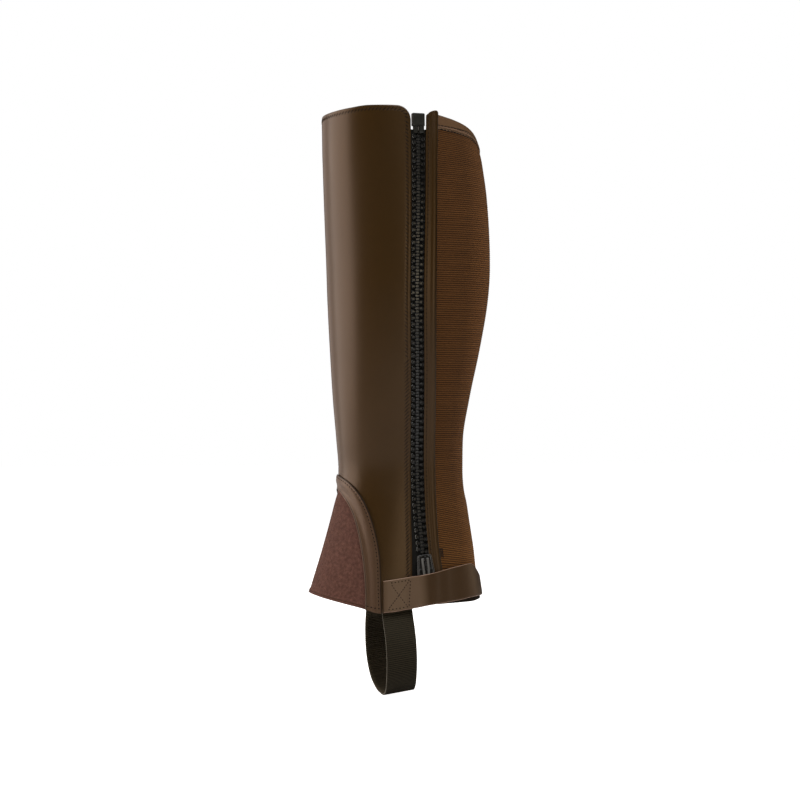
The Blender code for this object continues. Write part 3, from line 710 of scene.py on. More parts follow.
gussetCloth = makeCloth("gusset elastic", {
    "colour": (0.232, 0.108, 0.080), "deep": (0.058, 0.024, 0.017), "roughness": 0.9,
    "along": 1150.0, "across": 1500.0, "relief": 0.00028, "uneven": 1.4, "patch": 420.0, "toneLow": 0.2,
    "sheen": 0.05,
    "lines": [(1, -0.2858, 0.00045, (0.060, 0.026, 0.016))],
})
webbing = {"roughness": 0.85, "along": 1400.0, "across": 1330.0, "relief": 0.00010}
footElastic = makeCloth("foot elastic", {
    **webbing, "colour": (0.040, 0.033, 0.020), "deep": (0.022, 0.018, 0.010), "roughness": 0.8,
    # groove: painted shade in the rib grooves
    "ribs": 563.0, "groove": (0.004, 0.003, 0.0015),
})
footBack = makeCloth("foot elastic back", {
    **webbing, "colour": (0.100, 0.084, 0.052), "deep": (0.060, 0.050, 0.030),
    # groove: painted shade in the rib grooves
    "ribs": 563.0, "groove": (0.018, 0.014, 0.008),
})
selvedge = makeCloth("foot elastic edge", {
    **webbing, "colour": (0.130, 0.120, 0.098), "deep": (0.080, 0.074, 0.060), "relief": 0.00008,
})
zipTape = makeCloth("zip tape cloth", {
    "colour": (0.013, 0.012, 0.011), "deep": (0.006, 0.006, 0.005), "roughness": 0.85,
    "along": 2000.0, "across": 2000.0, "relief": 0.00008,
})
# painted glints: a pale colour on the teeth's ends beside the leather
toothGlint = makeGloss("tooth end painted glint", {"colour": (0.340, 0.340, 0.320), "roughness": 0.45})
toothPlastic = makeGloss("tooth plastic",
                         {"colour": (0.004, 0.004, 0.004), "roughness": 0.27, "specular": 0.42})
boxPlastic = makeGloss("box plastic",
                       {"colour": (0.0085, 0.0080, 0.0060), "roughness": 0.45, "specular": 0.22})
enamel = makeGloss("slider enamel", {"colour": (0.004, 0.004, 0.004), "roughness": 0.24, "specular": 0.35})
# paler worn edges, which are also painted highlights on the slider's and pull's edges
wornAndHighlightEdge = makeGloss("worn enamel edge and highlight",
                     {"colour": (0.095, 0.095, 0.092), "roughness": 0.34, "metallic": 0.2})
brightEdge = makeGloss("worn pull edge and highlight",
                       {"colour": (0.088, 0.088, 0.085), "roughness": 0.34, "metallic": 0.3})
capMetal = makeGloss("snap cap", {"colour": (0.075, 0.060, 0.045), "roughness": 0.32, "metallic": 0.9})
threadLook = {"roughness": 0.7, "specular": dullSpecular, "fine": 2500.0, "detail": 2.0,
              "darker": 0.6, "relief": 0.00008}
brownThread = makeMatte("brown thread", {**threadLook, "colour": (0.110, 0.060, 0.032)})
darkThread = makeMatte("dark thread", {**threadLook, "colour": (0.014, 0.008, 0.005)})
tonalThread = makeMatte("tonal thread", {**threadLook, "colour": (0.050, 0.028, 0.014)})
# painted shade for the needle holes
needleHoleShade = makeMatte("needle hole shade", {**threadLook, "colour": (0.010, 0.006, 0.004)})
print("materials made")

# Shin panel

shinPanel = {
    "wall": 0.0018,
    "edgeRounding": 0.00045,
    "archAcross": 0.30,  # its edge in the arch, under the curved strip
    "archRows": 44,
    "highRows": 66,
    "outerColumns": 40,
    "innerColumns": 44,
    "cornerRadius": 0.0110,
    "cornerBlend": 0.0800,
    "edgeStations": (0.0, 0.0005, 0.0011, 0.0018, 0.0025, 0.0030, 0.0034, 0.0038, 0.0043, 0.0052,
                     0.0064, 0.0080),
    "seamClear": 3.0,  # degrees from the inner seam to the top row of stitches
    "rowGap": 0.001,
    "hemClear": 0.003,
    "topClear": 0.005,
    "shortEnd": -0.0800,  # the row beside the teeth: short stitches down to here
    "longStart": -0.0815,  # and long ones from here
    "longEnd": -0.2660,
}
shinEdge = {"roll": 0.0016, "rollDrop": 0.00035, "stitchAt": 0.0034, "grooveWidth": 0.0007,
            "grooveDepth": 0.00018}
thread = {"pitch": 0.0034, "cover": 0.58, "width": 0.00080, "height": 0.00030, "stand": 0.00002,
          "slant": 14.0, "holeLong": 0.00085, "holeWide": 0.00055, "holeDeep": 0.00012}
dashThread = {**thread, "pitch": 0.0031, "cover": 0.46, "width": 0.00110, "slant": 6.0, "holeLong": 0.0002,
              "holeWide": 0.0002}
slantThread = {**thread, "stand": 0.00016, "height": 0.00024, "pitch": 0.0031, "cover": 1.3, "slant": 50.0,
               "width": 0.0007, "holeLong": 0.0002, "holeWide": 0.0002}
longThread = {**slantThread, "cover": 2.2, "slant": -46.0}
underThread = {**thread, "cover": 0.4, "holeLong": 0.0012}
facingThread = {**thread, "slant": 25.0}
denseThread = {**thread, "pitch": 0.0011, "cover": 1.5, "width": 0.0010, "slant": 88.0, "holeLong": 0.0003}
sideThread = {**thread, "pitch": 0.0016, "cover": 0.3, "slant": 0.0, "holeLong": 0.0009, "holeWide": 0.00045}

archTable = smoothTable("row outerAngle outerLevel innerAngle innerLevel", [
    (0.0, 0.0, -0.1775, 0.0, -0.1895),
    (1.0, 14.0, -0.1796, 12.0, -0.1915),
    (2.0, 28.0, -0.1832, 23.0, -0.1958),
    (3.0, 40.2, -0.1893, 33.0, -0.2018),
    (4.0, 50.5, -0.1983, 41.2, -0.2102),
    (5.0, 58.8, -0.2103, 47.8, -0.2210),
    (6.0, 65.6, -0.2255, 53.3, -0.2340),
    (7.0, 70.7, -0.2422, 58.2, -0.2480),
    (8.0, 73.5, -0.2575, 62.0, -0.2615),
    (9.0, 75.3, -0.2725, 64.6, -0.2750),
    (10.0, 77.4, -0.2880, 66.5, -0.2880),
])
innerSeam = {"angle": 215.0, "lap": 0.0080}


def archPoint(share, across):
    row = archTable(share * 10.0)
    angle = row.outerAngle + (row.innerAngle - row.outerAngle) * across
    level = row.outerLevel + (row.innerLevel - row.outerLevel) * across
    return angle, level


def cornerDrop(distance, radius):
    if distance >= radius:
        return 0.0
    return radius - math.sqrt(max(0.0, radius**2 - (radius - distance) ** 2))


clothRadius = 0.062  # turns an angle into metres of cloth


def clothPlace(angle, level):
    return (math.radians(angle) * clothRadius, level)


def makeShinPanel():
    top = pattern["top"]
    across = shinPanel["archAcross"]
    apex = archPoint(0.0, across)[1]
    rows = [archPoint(1 - share, across) for share in evenSteps(0.0, 1.0, shinPanel["archRows"])]
    edges = shinPanel["edgeStations"]
    rows += [(0.0, level) for level in evenSteps(apex, top - edges[-1], shinPanel["highRows"])[1:]]
    rows += [(0.0, top - distance) for distance in reversed(edges[:-1])]

    def gap(row):
        return -row.frontGap

    def outer(column, row):
        start, level = row
        edge = besideZip(level, gap)
        length = math.radians(edge - start) * reachAt(level)
        near = edges[-1]
        if column >= 1.0:
            distance = edges[len(edges) - 1 - round(column - 1.0)]
        else:
            distance = length - (length - near) * column
        share = 1 - distance / length
        nearTop = shareTo(top, shinPanel["cornerBlend"], level)
        drop = cornerDrop(distance, shinPanel["cornerRadius"]) * nearTop
        angle = start + (besideZip(level, gap, drop) - start) * share
        lift = turnedEdge(min(distance, top - level), shinEdge)
        return skin(angle, heightOf(angle, level) - drop, lift), clothPlace(angle, level)

    def inner(column, row):
        start, level = row
        seam = innerSeam["angle"] - 360.0
        length = math.radians(-start - seam) * reachAt(level)
        near = edges[-1]
        if column < 0.0:
            distance = edges[len(edges) - 1 + round(column)]
        else:
            distance = near + (length - near) * column
        angle = seam + (-start - seam) * distance / length
        lift = turnedEdge(min(distance, top - level), shinEdge)
        return skin(angle, heightOf(angle, level), lift), clothPlace(angle, level)

    count = len(edges) - 1
    outerColumns = evenSteps(0.0, 1.0, shinPanel["outerColumns"]) + [1.0 + i for i in range(1, count + 1)]
    innerColumns = [float(-i) for i in range(count, 0, -1)] + evenSteps(0.0, 1.0, shinPanel["innerColumns"])
    return layCloth("shin_leather", [(outerColumns, rows, outer), (innerColumns, rows, inner)],
                    shinPanel["wall"], [brownLeather, suede, cutEdge], ["shin_panel"],
                    shinPanel["edgeRounding"], merge=True)


def withNormal(angle, height, lift=0.0):
    return skin(angle, height, lift), skinNormal(angle, legForm(height))


def shinStitches():
    inset = shinEdge["stitchAt"]
    radius = shinPanel["cornerRadius"]
    top = pattern["top"]
    lift = -shinEdge["grooveDepth"]

    def corner(across, drop):
        # across: distance from the leather's edge at the zip
        angle = besideZip(top, lambda row: -row.frontGap - across, drop)
        return withNormal(angle, heightOf(angle, top) - drop, lift)

    topEnd = besideZip(top, lambda row: -row.frontGap - radius)
    start = innerSeam["angle"] - 360.0 + shinPanel["seamClear"]
    rim = [withNormal(angle, heightOf(angle, top) - inset, lift)
           for angle in evenSteps(start, topEnd, 160)[:-1]]
    bend = radius - inset
    for turn in evenSteps(0.0, math.pi / 2, 12):
        rim.append(corner(radius - bend * math.sin(turn), radius - bend * math.cos(turn)))
    begin = rim[-1][0].z - shinPanel["rowGap"]

    def besideTeeth(high, low):
        return [withNormal(zipAngle(height, -zipLine(height).frontGap - inset), height, lift)
                for height in evenSteps(high, low, 90)]

    seam = []
    for level in evenSteps(pattern["hem"] + shinPanel["hemClear"], top - shinPanel["topClear"], 120):
        angle = innerSeam["angle"] - 360.0 + math.degrees(inset / reachAt(level))
        seam.append(withNormal(angle, heightOf(angle, level), lift))
    edge = [(rim, slantThread), (besideTeeth(begin, shinPanel["shortEnd"]), slantThread),
            (besideTeeth(shinPanel["longStart"], shinPanel["longEnd"]), longThread)]
    return (sewPiece("shin_stitching", edge, [darkThread, needleHoleShade]),
            sewPiece("shin_seam_stitching", [(seam, thread)], [brownThread, needleHoleShade]))


# Calf panel with its ribs, and the binding over its top edge

calfPanel = {
    "wall": 0.0016,
    "face": -0.0022,  # crests of the ribs, from the leather's face
    "near": 0.0098,
    "topClear": 0.0028,
    "columns": 34,
    "ribs": 230,
    "stepsPerRib": 4,
    "ribDepth": 0.00034,
    "tilt": 0.021,  # how far the ribs fall from the zip to the inner seam near the ankle
    "tiltCentre": -0.2250,
    "tiltReach": 0.052,
    "tiltAbout": 0.45,  # the share of the width that stays level
    "tiltBlend": 0.030,
    "topBend": 2.2,
    "clothWidth": 0.125,
}


def seamLap(level):
    return math.degrees(innerSeam["lap"] / reachAt(level))


def calfEdges(level):
    return besideZip(level, lambda row: calfPanel["near"]), innerSeam["angle"] + seamLap(level)


def ribTilt(level):
    off = (level - calfPanel["tiltCentre"]) / calfPanel["tiltReach"]
    blend = min(1.0, max(0.0, (level - pattern["hem"]) / calfPanel["tiltBlend"]))
    return calfPanel["tilt"] * math.exp(-off * off) * blend


def ribHeight(angle, level):
    # ribs stay level nearly up to the slanting top edge
    nearTop = shareTo(pattern["top"], pattern["topBlend"], level)
    bend = nearTop ** calfPanel["topBend"] - nearTop
    return heightOf(angle, level) + (rims(angle).top - pattern["top"]) * bend


def makeCalfPanel():
    hem = pattern["hem"]
    top = pattern["top"] - calfPanel["topClear"]
    steps = calfPanel["ribs"] * calfPanel["stepsPerRib"]
    edges = {}

    def edgesAt(level):
        key = round(level, 4)
        if key not in edges:
            edges[key] = calfEdges(key)
        return edges[key]

    def place(share, row):
        level = hem + (top - hem) * row / steps
        level -= ribTilt(level) * (share - calfPanel["tiltAbout"])
        near, far = edgesAt(level)
        angle = near + (far - near) * share
        valley = 1 - ribCrest(row, calfPanel["stepsPerRib"])
        lift = calfPanel["face"] - calfPanel["ribDepth"] * valley
        cloth = (share * calfPanel["clothWidth"], row / steps * (top - hem))
        return skin(angle, ribHeight(angle, level), lift), cloth

    across = evenSteps(0.0, 1.0, calfPanel["columns"])
    return layCloth("calf_elastic", [(across, list(range(steps + 1)), place)], calfPanel["wall"],
                    [brownElastic], ["calf_panel"])


calfBinding = {
    "wall": 0.0010,
    "stand": 0.0013,
    "depth": 0.0118,
    "narrow": 0.0096,
    "narrowAt": 0.35,
    "narrowBefore": 0.1,
    "gap": 0.0002,
    "columns": 56,
    "sideRows": 9,
    "foldRows": 8,
    "endClear": 0.3,  # degrees
    "loose": 0.0003,  # behind the calf panel
    "holesBelow": 0.0016,
    "clothLength": 0.090,
    "clothNarrowing": 0.011,
    "clothNarrowTo": 0.3,  # as a share of the length, from the zip
}
bindingEdge = {"roll": 0.0010, "rollDrop": 0.00035, "stitchAt": 0.0016, "grooveWidth": 0.0006,
               "grooveDepth": 0.00025}


def bindingPoint(share, below, lift):
    top = pattern["top"]
    start = besideZip(top, lambda row: row.facingFar + calfBinding["gap"], below)
    end = innerSeam["angle"] - calfBinding["endClear"]
    angle = start + (end - start) * share
    return angle, heightOf(angle, top) - below, lift


def bindingDepth(share):
    narrowing = min(1.0, (share + calfBinding["narrowBefore"]) / calfBinding["narrowAt"])
    return calfBinding["depth"] + (calfBinding["narrow"] - calfBinding["depth"]) * narrowing


def makeCalfBinding():
    outer = calfPanel["face"] + calfBinding["stand"]
    inner = calfPanel["face"] - calfPanel["wall"] - calfBinding["loose"] - calfBinding["wall"]
    half = (outer - inner) / 2
    stations = [("outer", part) for part in evenSteps(0.0, 1.0, calfBinding["sideRows"])]
    stations += [("fold", turn) for turn in evenSteps(0.0, math.pi, calfBinding["foldRows"])[1:-1]]
    stations += [("inner", part) for part in evenSteps(1.0, 0.0, calfBinding["sideRows"])]

    def place(share, station):
        side, part = station
        depth = bindingDepth(share)
        if side == "fold":
            below = half - half * math.sin(part)
            lift = (outer + inner) / 2 + half * math.cos(part)
        else:
            below = depth + (half - depth) * part
            lift = outer + turnedEdge(depth - below, bindingEdge) if side == "outer" else inner
        angle, height, lift = bindingPoint(share, below, lift)
        drop = below + calfBinding["clothNarrowing"] * min(share, calfBinding["clothNarrowTo"])
        cloth = (share * calfBinding["clothLength"], drop if side == "outer" else -below)
        return skin(angle, height, lift), cloth

    return layCloth("calf_top_edge", [(evenSteps(0.0, 1.0, calfBinding["columns"]), stations, place)],
                    calfBinding["wall"], [bindingCloth], ["calf_top_binding"], thinRounding)


def bindingStitches():
    outer = calfPanel["face"] + calfBinding["stand"] - bindingEdge["grooveDepth"]
    path = []
    under = []
    for share in evenSteps(0.01, 0.99, 60):
        depth = bindingDepth(share)
        path.append(withNormal(*bindingPoint(share, depth - bindingEdge["stitchAt"], outer)))
        below = depth + calfBinding["holesBelow"]
        under.append(withNormal(*bindingPoint(share, below, calfPanel["face"])))
    return sewPiece("binding_stitching", [(path, thread), (under, underThread)], [brownThread, needleHoleShade])


# Facing behind the zip

facing = {
    "wall": 0.0018,
    "rows": 150,
    "columns": 14,
    "earRadius": 0.0095,
    "earRise": 0.0026,
    "rearRadius": 0.0026,
    "earBlend": 0.1000,
    "pipeFrom": 0.52,  # the rolled back edge, as a share of the width
    "pipeHeight": 0.0011,
    "pipeTurn": 0.82,
    "pipeStart": 0.02,
    "pipeFullness": 0.8,
    "fineHeight": 0.012,
    "fineRows": 12,
    "rowLow": -0.2650,
    "rowClear": 0.0035,
}
facingEdge = {"roll": 0.0010, "rollDrop": 0.0003, "stitchAt": 0.0022, "grooveWidth": 0.0006,
              "grooveDepth": 0.00025}


def facingPoint(share, level, lift):
    top = pattern["top"]
    row = zipLine(level)
    width = row.facingFar - row.facingNear
    drop = cornerDrop(width * share, facing["earRadius"])
    drop += cornerDrop(width * (1 - share), facing["rearRadius"])
    drop -= facing["earRise"] * math.sin(share * math.pi / 2)
    drop *= shareTo(top, facing["earBlend"], level)
    angle = besideZip(level, lambda row: row.facingNear + (row.facingFar - row.facingNear) * share, drop)
    return angle, heightOf(angle, level) - drop, lift


def facingProfile(share, width):
    # flat beside the teeth, rolled along the back edge
    lift = turnedEdge(share * width, facingEdge)
    if share > facing["pipeFrom"]:
        turn = facing["pipeStart"] + facing["pipeTurn"] * shareTo(1.0, facing["pipeFrom"], share)
        lift += facing["pipeHeight"] * math.sin(math.pi * min(1.0, turn)) ** facing["pipeFullness"]
    return lift


calfTack = {
    "dense": (0.0030, -0.2455, -0.2385),  # offset behind the facing, lower end, upper end
    "sides": ((0.0016, -0.2460, -0.2380), (0.0044, -0.2460, -0.2380)),
}


def makeTack():
    # a short dense tack that holds the calf panel's corner
    def line(offset, low, high):
        path = []
        for height in evenSteps(high, low, 8):
            angle = zipAngle(height, zipLine(height).facingFar + offset)
            path.append(withNormal(angle, height, calfPanel["face"]))
        return path

    rows = [(line(*calfTack["dense"]), denseThread)]
    rows += [(line(*row), sideThread) for row in calfTack["sides"]]
    return sewPiece("calf_tack", rows, [tonalThread, needleHoleShade])


def makeFacing():
    top = pattern["top"]
    hem = pattern["hem"]
    fine = top - facing["fineHeight"]
    rows = evenSteps(hem, fine, facing["rows"]) + evenSteps(fine, top, facing["fineRows"])[1:]

    def place(share, level):
        row = zipLine(level)
        width = row.facingFar - row.facingNear
        angle, height, lift = facingPoint(share, level, facingProfile(share, width))
        return skin(angle, height, lift), ((1 - share) * width, level)

    columns = evenSteps(0.0, 0.80, facing["columns"]) + [0.85, 0.89, 0.925, 0.955, 0.975, 0.99, 1.0]
    return layCloth("zip_facing_leather", [(columns, rows, place)],
                    facing["wall"], [facingLeather, suede, cutEdge], ["zip_facing"], thinRounding)


def facingStitches():
    path = []
    for level in evenSteps(facing["rowLow"], pattern["top"] - facing["rowClear"], 180):
        row = zipLine(level)
        width = row.facingFar - row.facingNear
        place = facingPoint(facingEdge["stitchAt"] / width, level, -facingEdge["grooveDepth"])
        path.append(withNormal(*place))
    return sewPiece("facing_stitching", [(path, facingThread)], [tonalThread, needleHoleShade])


# Zip: tapes, teeth, box, slider and pull

zipParts = {
    "tapeWall": 0.0009,
    "under": -0.0021,
    "tapeLap": 0.0045,
    "tapeBack": 0.0094,
    "tapeTop": 0.1175,
    "tapeNarrow": 0.1090,
    "tapeTrim": 0.0078,
    "tapeHem": -0.2840,
    "tapeEnd": 0.0040,
    "tapeClear": 0.0002,
    "chainTop": 0.1121,
    "chainEnd": -0.2431,
    "pinHeight": 0.0052,
    "pitch": 0.0052,
    "face": -0.0007,
    "depth": 0.0036,
    "bodyOut": 0.0050,
    "bodyIn": 0.0012,
    "bodyHigh": 0.0040,
    "headOut": 0.0016,
    "headHigh": 0.0023,
    "bodyTaper": 0.66,
    "headShare": 0.82,
    "headLap": 0.0004,
    "dimpleRim": 0.00085,
    "dimpleDepth": 0.0011,
    "bevel": 0.00095,
    "headBevel": 0.00040,
    "glintFrom": -0.0038,
    "glintFacing": -0.4,
}


def zipFrame(height, offset=0.0, lift=0.0):
    # axes on the zip's line: across to the rear, out, and up along the zip
    step = 0.004
    high = skin(zipAngle(height + step, offset), height + step, lift)
    low = skin(zipAngle(height - step, offset), height - step, lift)
    up = (high - low).normalized()
    angle = zipAngle(height, offset)
    out = skinNormal(angle, legForm(height))
    across = up.cross(out).normalized()
    return placeAt(skin(angle, height, lift), across, across.cross(up).normalized(), up)


def makeTapes():
    heights = evenSteps(zipParts["tapeHem"], zipParts["tapeNarrow"], 150)
    top = zipParts["tapeTop"]
    heights += [zipParts["tapeNarrow"] + 0.001, top - zipParts["tapeEnd"], top]

    def edge(height):
        # the tapes meet under the teeth and are cut back beside the box
        return zipParts["tapeTrim"] if height > zipParts["tapeNarrow"] + 0.0001 else zipParts["tapeClear"]

    def front(share, height):
        outer = zipLine(height).frontGap + zipParts["tapeLap"]
        offset = -outer + (outer - edge(height)) * share
        return skin(zipAngle(height, offset), height, zipParts["under"]), (offset, height)

    def back(share, height):
        offset = edge(height) + (zipParts["tapeBack"] - edge(height)) * share
        return skin(zipAngle(height, offset), height, zipParts["under"]), (offset, height)

    grids = [(evenSteps(0.0, 1.0, 6), heights, front), (evenSteps(0.0, 1.0, 5), heights, back)]
    return layCloth("zip_tapes", grids, zipParts["tapeWall"], [zipTape], ["zip_tape_front", "zip_tape_back"])


def addBlock(bm, place, low, high, farShare=1.0):
    # a block from corner low to corner high on the given axes; its far X end may be lower
    made = bmesh.ops.create_cube(bm, size=1.0)["verts"]
    for vert in made:
        x, y, z = (a + (b - a) * (c + 0.5) for a, b, c in zip(low, high, vert.co))
        if vert.co.x > 0:
            middle = (low[2] + high[2]) / 2
            z = middle + (z - middle) * farShare
        vert.co = place @ Vector((x, y, z))
    return made


def makeTeeth():
    bm = bmesh.new()
    pitch = zipParts["pitch"]
    first = zipParts["chainTop"] - zipParts["pinHeight"] - pitch / 2
    count = int((first - zipParts["chainEnd"] - 0.001) / (pitch / 2))
    half = zipParts["depth"] / 2
    body = zipParts["bodyHigh"] / 2
    head = zipParts["headHigh"] / 2
    thin = half * zipParts["headShare"]
    dimples = set()
    bodies = set()
    for i in range(count + 1):
        place = zipFrame(first - i * pitch / 2, 0.0, zipParts["face"] - half)
        if i % 2:
            place = place @ Matrix.Rotation(math.pi, 4, "Y")
        made = addBlock(bm, place, (-zipParts["bodyOut"], -half, -body), (-zipParts["bodyIn"], half, body),
                        zipParts["bodyTaper"])
        out = place.col[1].to_3d()
        face = max({face for vert in made for face in vert.link_faces},
                   key=lambda face: face.calc_center_median().dot(out))
        face.normal_update()
        bmesh.ops.inset_region(bm, faces=[face], thickness=zipParts["dimpleRim"], use_even_offset=True)
        bmesh.ops.translate(bm, verts=face.verts, vec=-out * zipParts["dimpleDepth"])
        dimples.update(edge for vert in face.verts for edge in vert.link_edges)
        bodies.update(edge for vert in made for edge in vert.link_edges)
        addBlock(bm, place, (-zipParts["bodyIn"] - zipParts["headLap"], -thin, -head),
                 (zipParts["headOut"], thin, head))
    heads = [edge for edge in bm.edges if edge not in dimples and edge not in bodies]
    for edges, width in ((bodies - dimples, zipParts["bevel"]), (heads, zipParts["headBevel"])):
        roundEdges(bm, [edge for edge in edges if edge.is_valid], width, 1, clamp=False)
    turnOutwards(bm)
    for face in bm.faces:  # the ends beside the leather are painted pale as glints
        if face.normal.x < zipParts["glintFacing"]:
            centre = face.calc_center_median()
            if (zipFrame(centre.z).inverted() @ centre).x < zipParts["glintFrom"]:
                face.material_index = 1
    return linkPiece("zip_teeth", bm, [toothPlastic, toothGlint], replaced=["zip_chain"], smooth=False)


zipBox = {
    "width": 0.0110,
    "height": 0.0110,
    "depth": 0.0044,
    "face": 0.0003,
    "bevel": 0.0010,
    "clear": 0.0003,
    "collar": (0.0003, 0.0045),  # each half, from the zip's middle
    "collarInset": 0.0006,
}


def makeZipBox():
    # the box over the chain's top and the two halves of its collar
    base = zipParts["chainTop"] + zipBox["clear"]
    half = zipBox["height"] / 2
    wide = zipBox["width"] / 2
    back = zipBox["face"] - zipBox["depth"]
    inset = zipBox["collarInset"]
    bm = bmesh.new()
    addBlock(bm, zipFrame(base + half), (-wide, back, -half), (wide, zipBox["face"], half))
    collar = zipFrame(base - zipParts["pinHeight"] / 2)
    reach = zipParts["pinHeight"] / 2 + inset
    for side in (-1, 1):
        low, high = sorted(side * edge for edge in zipBox["collar"])
        addBlock(bm, collar, (low, back + inset, -reach), (high, -inset, reach))
    roundEdges(bm, bm.edges[:], zipBox["bevel"], 3)
    return linkPiece("zip_box", bm, [boxPlastic], replaced=["zip_retainer"], smooth=False)


slider = {
    "top": -0.2437,
    "length": 0.0175,
    "narrow": 0.0120,
    "wide": 0.0156,
    "plate": (0.0003, 0.0013),  # lifts off the leather's face
    "backPlate": (-0.0052, -0.0041),
    "rimWide": 0.0015,
    "rimLift": 0.0024,
    "crownWide": 0.0018,
    "crown": (0.0012, 0.0122),  # down from the slider's top
    "crownLifts": (0.0031, 0.0042),
    "post": 0.0013,
    "lap": 0.0002,  # how far joined bodies run into each other
    "neckWide": 0.0030,
    "neck": (0.0010, 0.0115),
    "rimInset": 0.0012,
    "rimFlare": 0.9,
    "browAside": 0.0044,
    "brows": ((0.0028, (0.0004, 0.0017)), (0.0032, (0.0114, 0.0128))),  # width, down from the top
    "corner": 0.0018,
    "bevel": 0.00042,
}
pull = {
    "axisDown": 0.0034,
    "lifts": (0.0017, 0.0030),
    "wide": 0.0068,
    "narrow": 0.0058,
    "bar": 0.0022,
    "length": 0.0260,
    "ringStart": -0.0006,
    "ringLength": 0.0180,
    "tabLap": 0.0004,
    "bevel": 0.00070,
}


def sliderAxes():
    top, bottom = slider["top"], slider["top"] - slider["length"]
    high = skin(zipAngle(top, 0.0), top)
    up = (high - skin(zipAngle(bottom, 0.0), bottom)).normalized()
    middle = (top + bottom) / 2
    across = up.cross(skinNormal(zipAngle(middle, 0.0), legForm(middle))).normalized()
    return placeAt(high, across, across.cross(up), up)


def addTapered(bm, place, widths, lifts, downs, shift=0.0, corner=0.0):
    # a plate on the zip's axes with its own width above and below; its lower end may sit aside
    made = bmesh.ops.create_cube(bm, size=1.0)["verts"]
    for vert in made:
        upper = vert.co.z > 0
        x = vert.co.x * widths[0 if upper else 1] + (0.0 if upper else shift)
        vert.co = Vector((x, lifts[1] if vert.co.y > 0 else lifts[0], -downs[0] if upper else -downs[1]))
    if corner:
        sides = {edge for vert in made for edge in vert.link_edges
                 if abs(edge.verts[0].co.y - edge.verts[1].co.y) > 0.0001}
        made = roundEdges(bm, list(sides), corner, 4, clamp=False)["verts"] + [v for v in made if v.is_valid]
    bmesh.ops.transform(bm, matrix=place, verts=list(set(made)))


wearAndHighlight = {"least": 0.12, "most": 0.985, "sideways": 0.3}


def wearAndHighlightEdges(bm, place, upTo, sideways=0.0, most=2.0):
    # the enamel is worn through where faces lean outwards, up to a height over the plate; these paler faces
    # are also painted highlights on the edges
    across, out = place.col[0].to_3d(), place.col[1].to_3d()
    back = place.inverted()
    turnOutwards(bm)
    for face in bm.faces:
        worn = wearAndHighlight["least"] < face.normal.dot(out) < most and abs(face.normal.dot(across)) >= sideways
        if worn and (back @ face.calc_center_median()).y < upTo:
            face.material_index = 1


def makeSlider():
    bm = bmesh.new()
    place = sliderAxes()
    plate, backPlate, lap = slider["plate"], slider["backPlate"], slider["lap"]
    for lifts in (plate, backPlate):
        addTapered(bm, place, (slider["narrow"], slider["wide"]), lifts, (0.0, slider["length"]),
                   corner=slider["corner"])

    def addBar(aside, wide, lifts, downs, shift=0.0):
        addTapered(bm, place @ Matrix.Translation((aside, 0.0, 0.0)), (wide, wide), lifts, downs, shift)

    addBar(0.0, slider["neckWide"], (backPlate[1] - lap, plate[0] + lap), slider["neck"])
    flare = (slider["wide"] - slider["narrow"]) / 2 * slider["rimFlare"]
    inset = slider["rimInset"]
    for side in (-1, 1):
        addBar(side * (slider["narrow"] - slider["rimWide"]) / 2, slider["rimWide"],
               (plate[0], slider["rimLift"]), (inset, slider["length"] - inset), side * flare)
        for wide, downs in slider["brows"]:
            addBar(side * slider["browAside"], wide, (plate[0], slider["rimLift"] - lap / 2), downs)
    lifts = slider["crownLifts"]
    start, end = slider["crown"]
    addBar(0.0, slider["crownWide"], lifts, (start, end))
    for downs in ((start, start + slider["post"]), (end - slider["post"], end)):
        addBar(0.0, slider["crownWide"], (plate[1] - lap, lifts[0] + 0.0003), downs)
    roundEdges(bm, bm.edges[:], slider["bevel"], 2)
    wearAndHighlightEdges(bm, place, slider["rimLift"] + slider["lap"] / 2, wearAndHighlight["sideways"], wearAndHighlight["most"])
    return linkPiece("zip_slider_body", bm, [enamel, wornAndHighlightEdge], replaced=["zip_slider"], smooth=False)


def makePull():
    # a flat ring that hangs on the slider's crown and ends in a plain tab
    bm = bmesh.new()
    place = sliderAxes() @ Matrix.Translation((0.0, 0.0, -pull["axisDown"]))
    share = pull["ringLength"] / pull["length"]
    middle = pull["wide"] + (pull["narrow"] - pull["wide"]) * share
    addTapered(bm, Matrix.Identity(4), (pull["wide"], middle), pull["lifts"],
               (pull["ringStart"], pull["ringLength"]))
    bmesh.ops.recalc_face_normals(bm, faces=bm.faces)
    flats = [face for face in bm.faces if abs(face.normal.y) > 0.9]
    bmesh.ops.inset_region(bm, faces=flats, thickness=pull["bar"], use_even_offset=True)
    bmesh.ops.delete(bm, geom=flats, context="FACES")
    bmesh.ops.bridge_loops(bm, edges=[edge for edge in bm.edges if edge.is_boundary])
    addTapered(bm, Matrix.Identity(4), (middle, pull["narrow"]), pull["lifts"],
               (pull["ringLength"] - pull["tabLap"], pull["length"]))
    bmesh.ops.recalc_face_normals(bm, faces=bm.faces)
    sharp = [edge for edge in bm.edges if edge.calc_face_angle(0.0) > math.radians(40)]
    roundEdges(bm, sharp, pull["bevel"], 3)
    bm.transform(place)
    wearAndHighlightEdges(bm, place, 2 * pull["lifts"][1])
    return linkPiece("zip_pull_tab", bm, [enamel, brightEdge], "zip_pull", ["zip_pull"], smooth=False)


# Gusset and the curved strip over its edge

gusset = {"wall": 0.0012, "edge": 0.70, "topAngle": 7.0, "columns": 64, "rows": 60, "fineShare": 0.12,
          "fineRows": 24, "hemDeep": 0.0045, "hemStep": 0.0008, "hemThick": 0.0006}
strip = {"wall": 0.0011, "columns": 20, "rows": 230, "seamAt": 0.94, "seamWidth": 0.022, "seamDepth": 0.00030,
         "rowEnd": 0.985, "endRow": 0.976, "clothWidth": 0.015, "clothLength": 0.129}
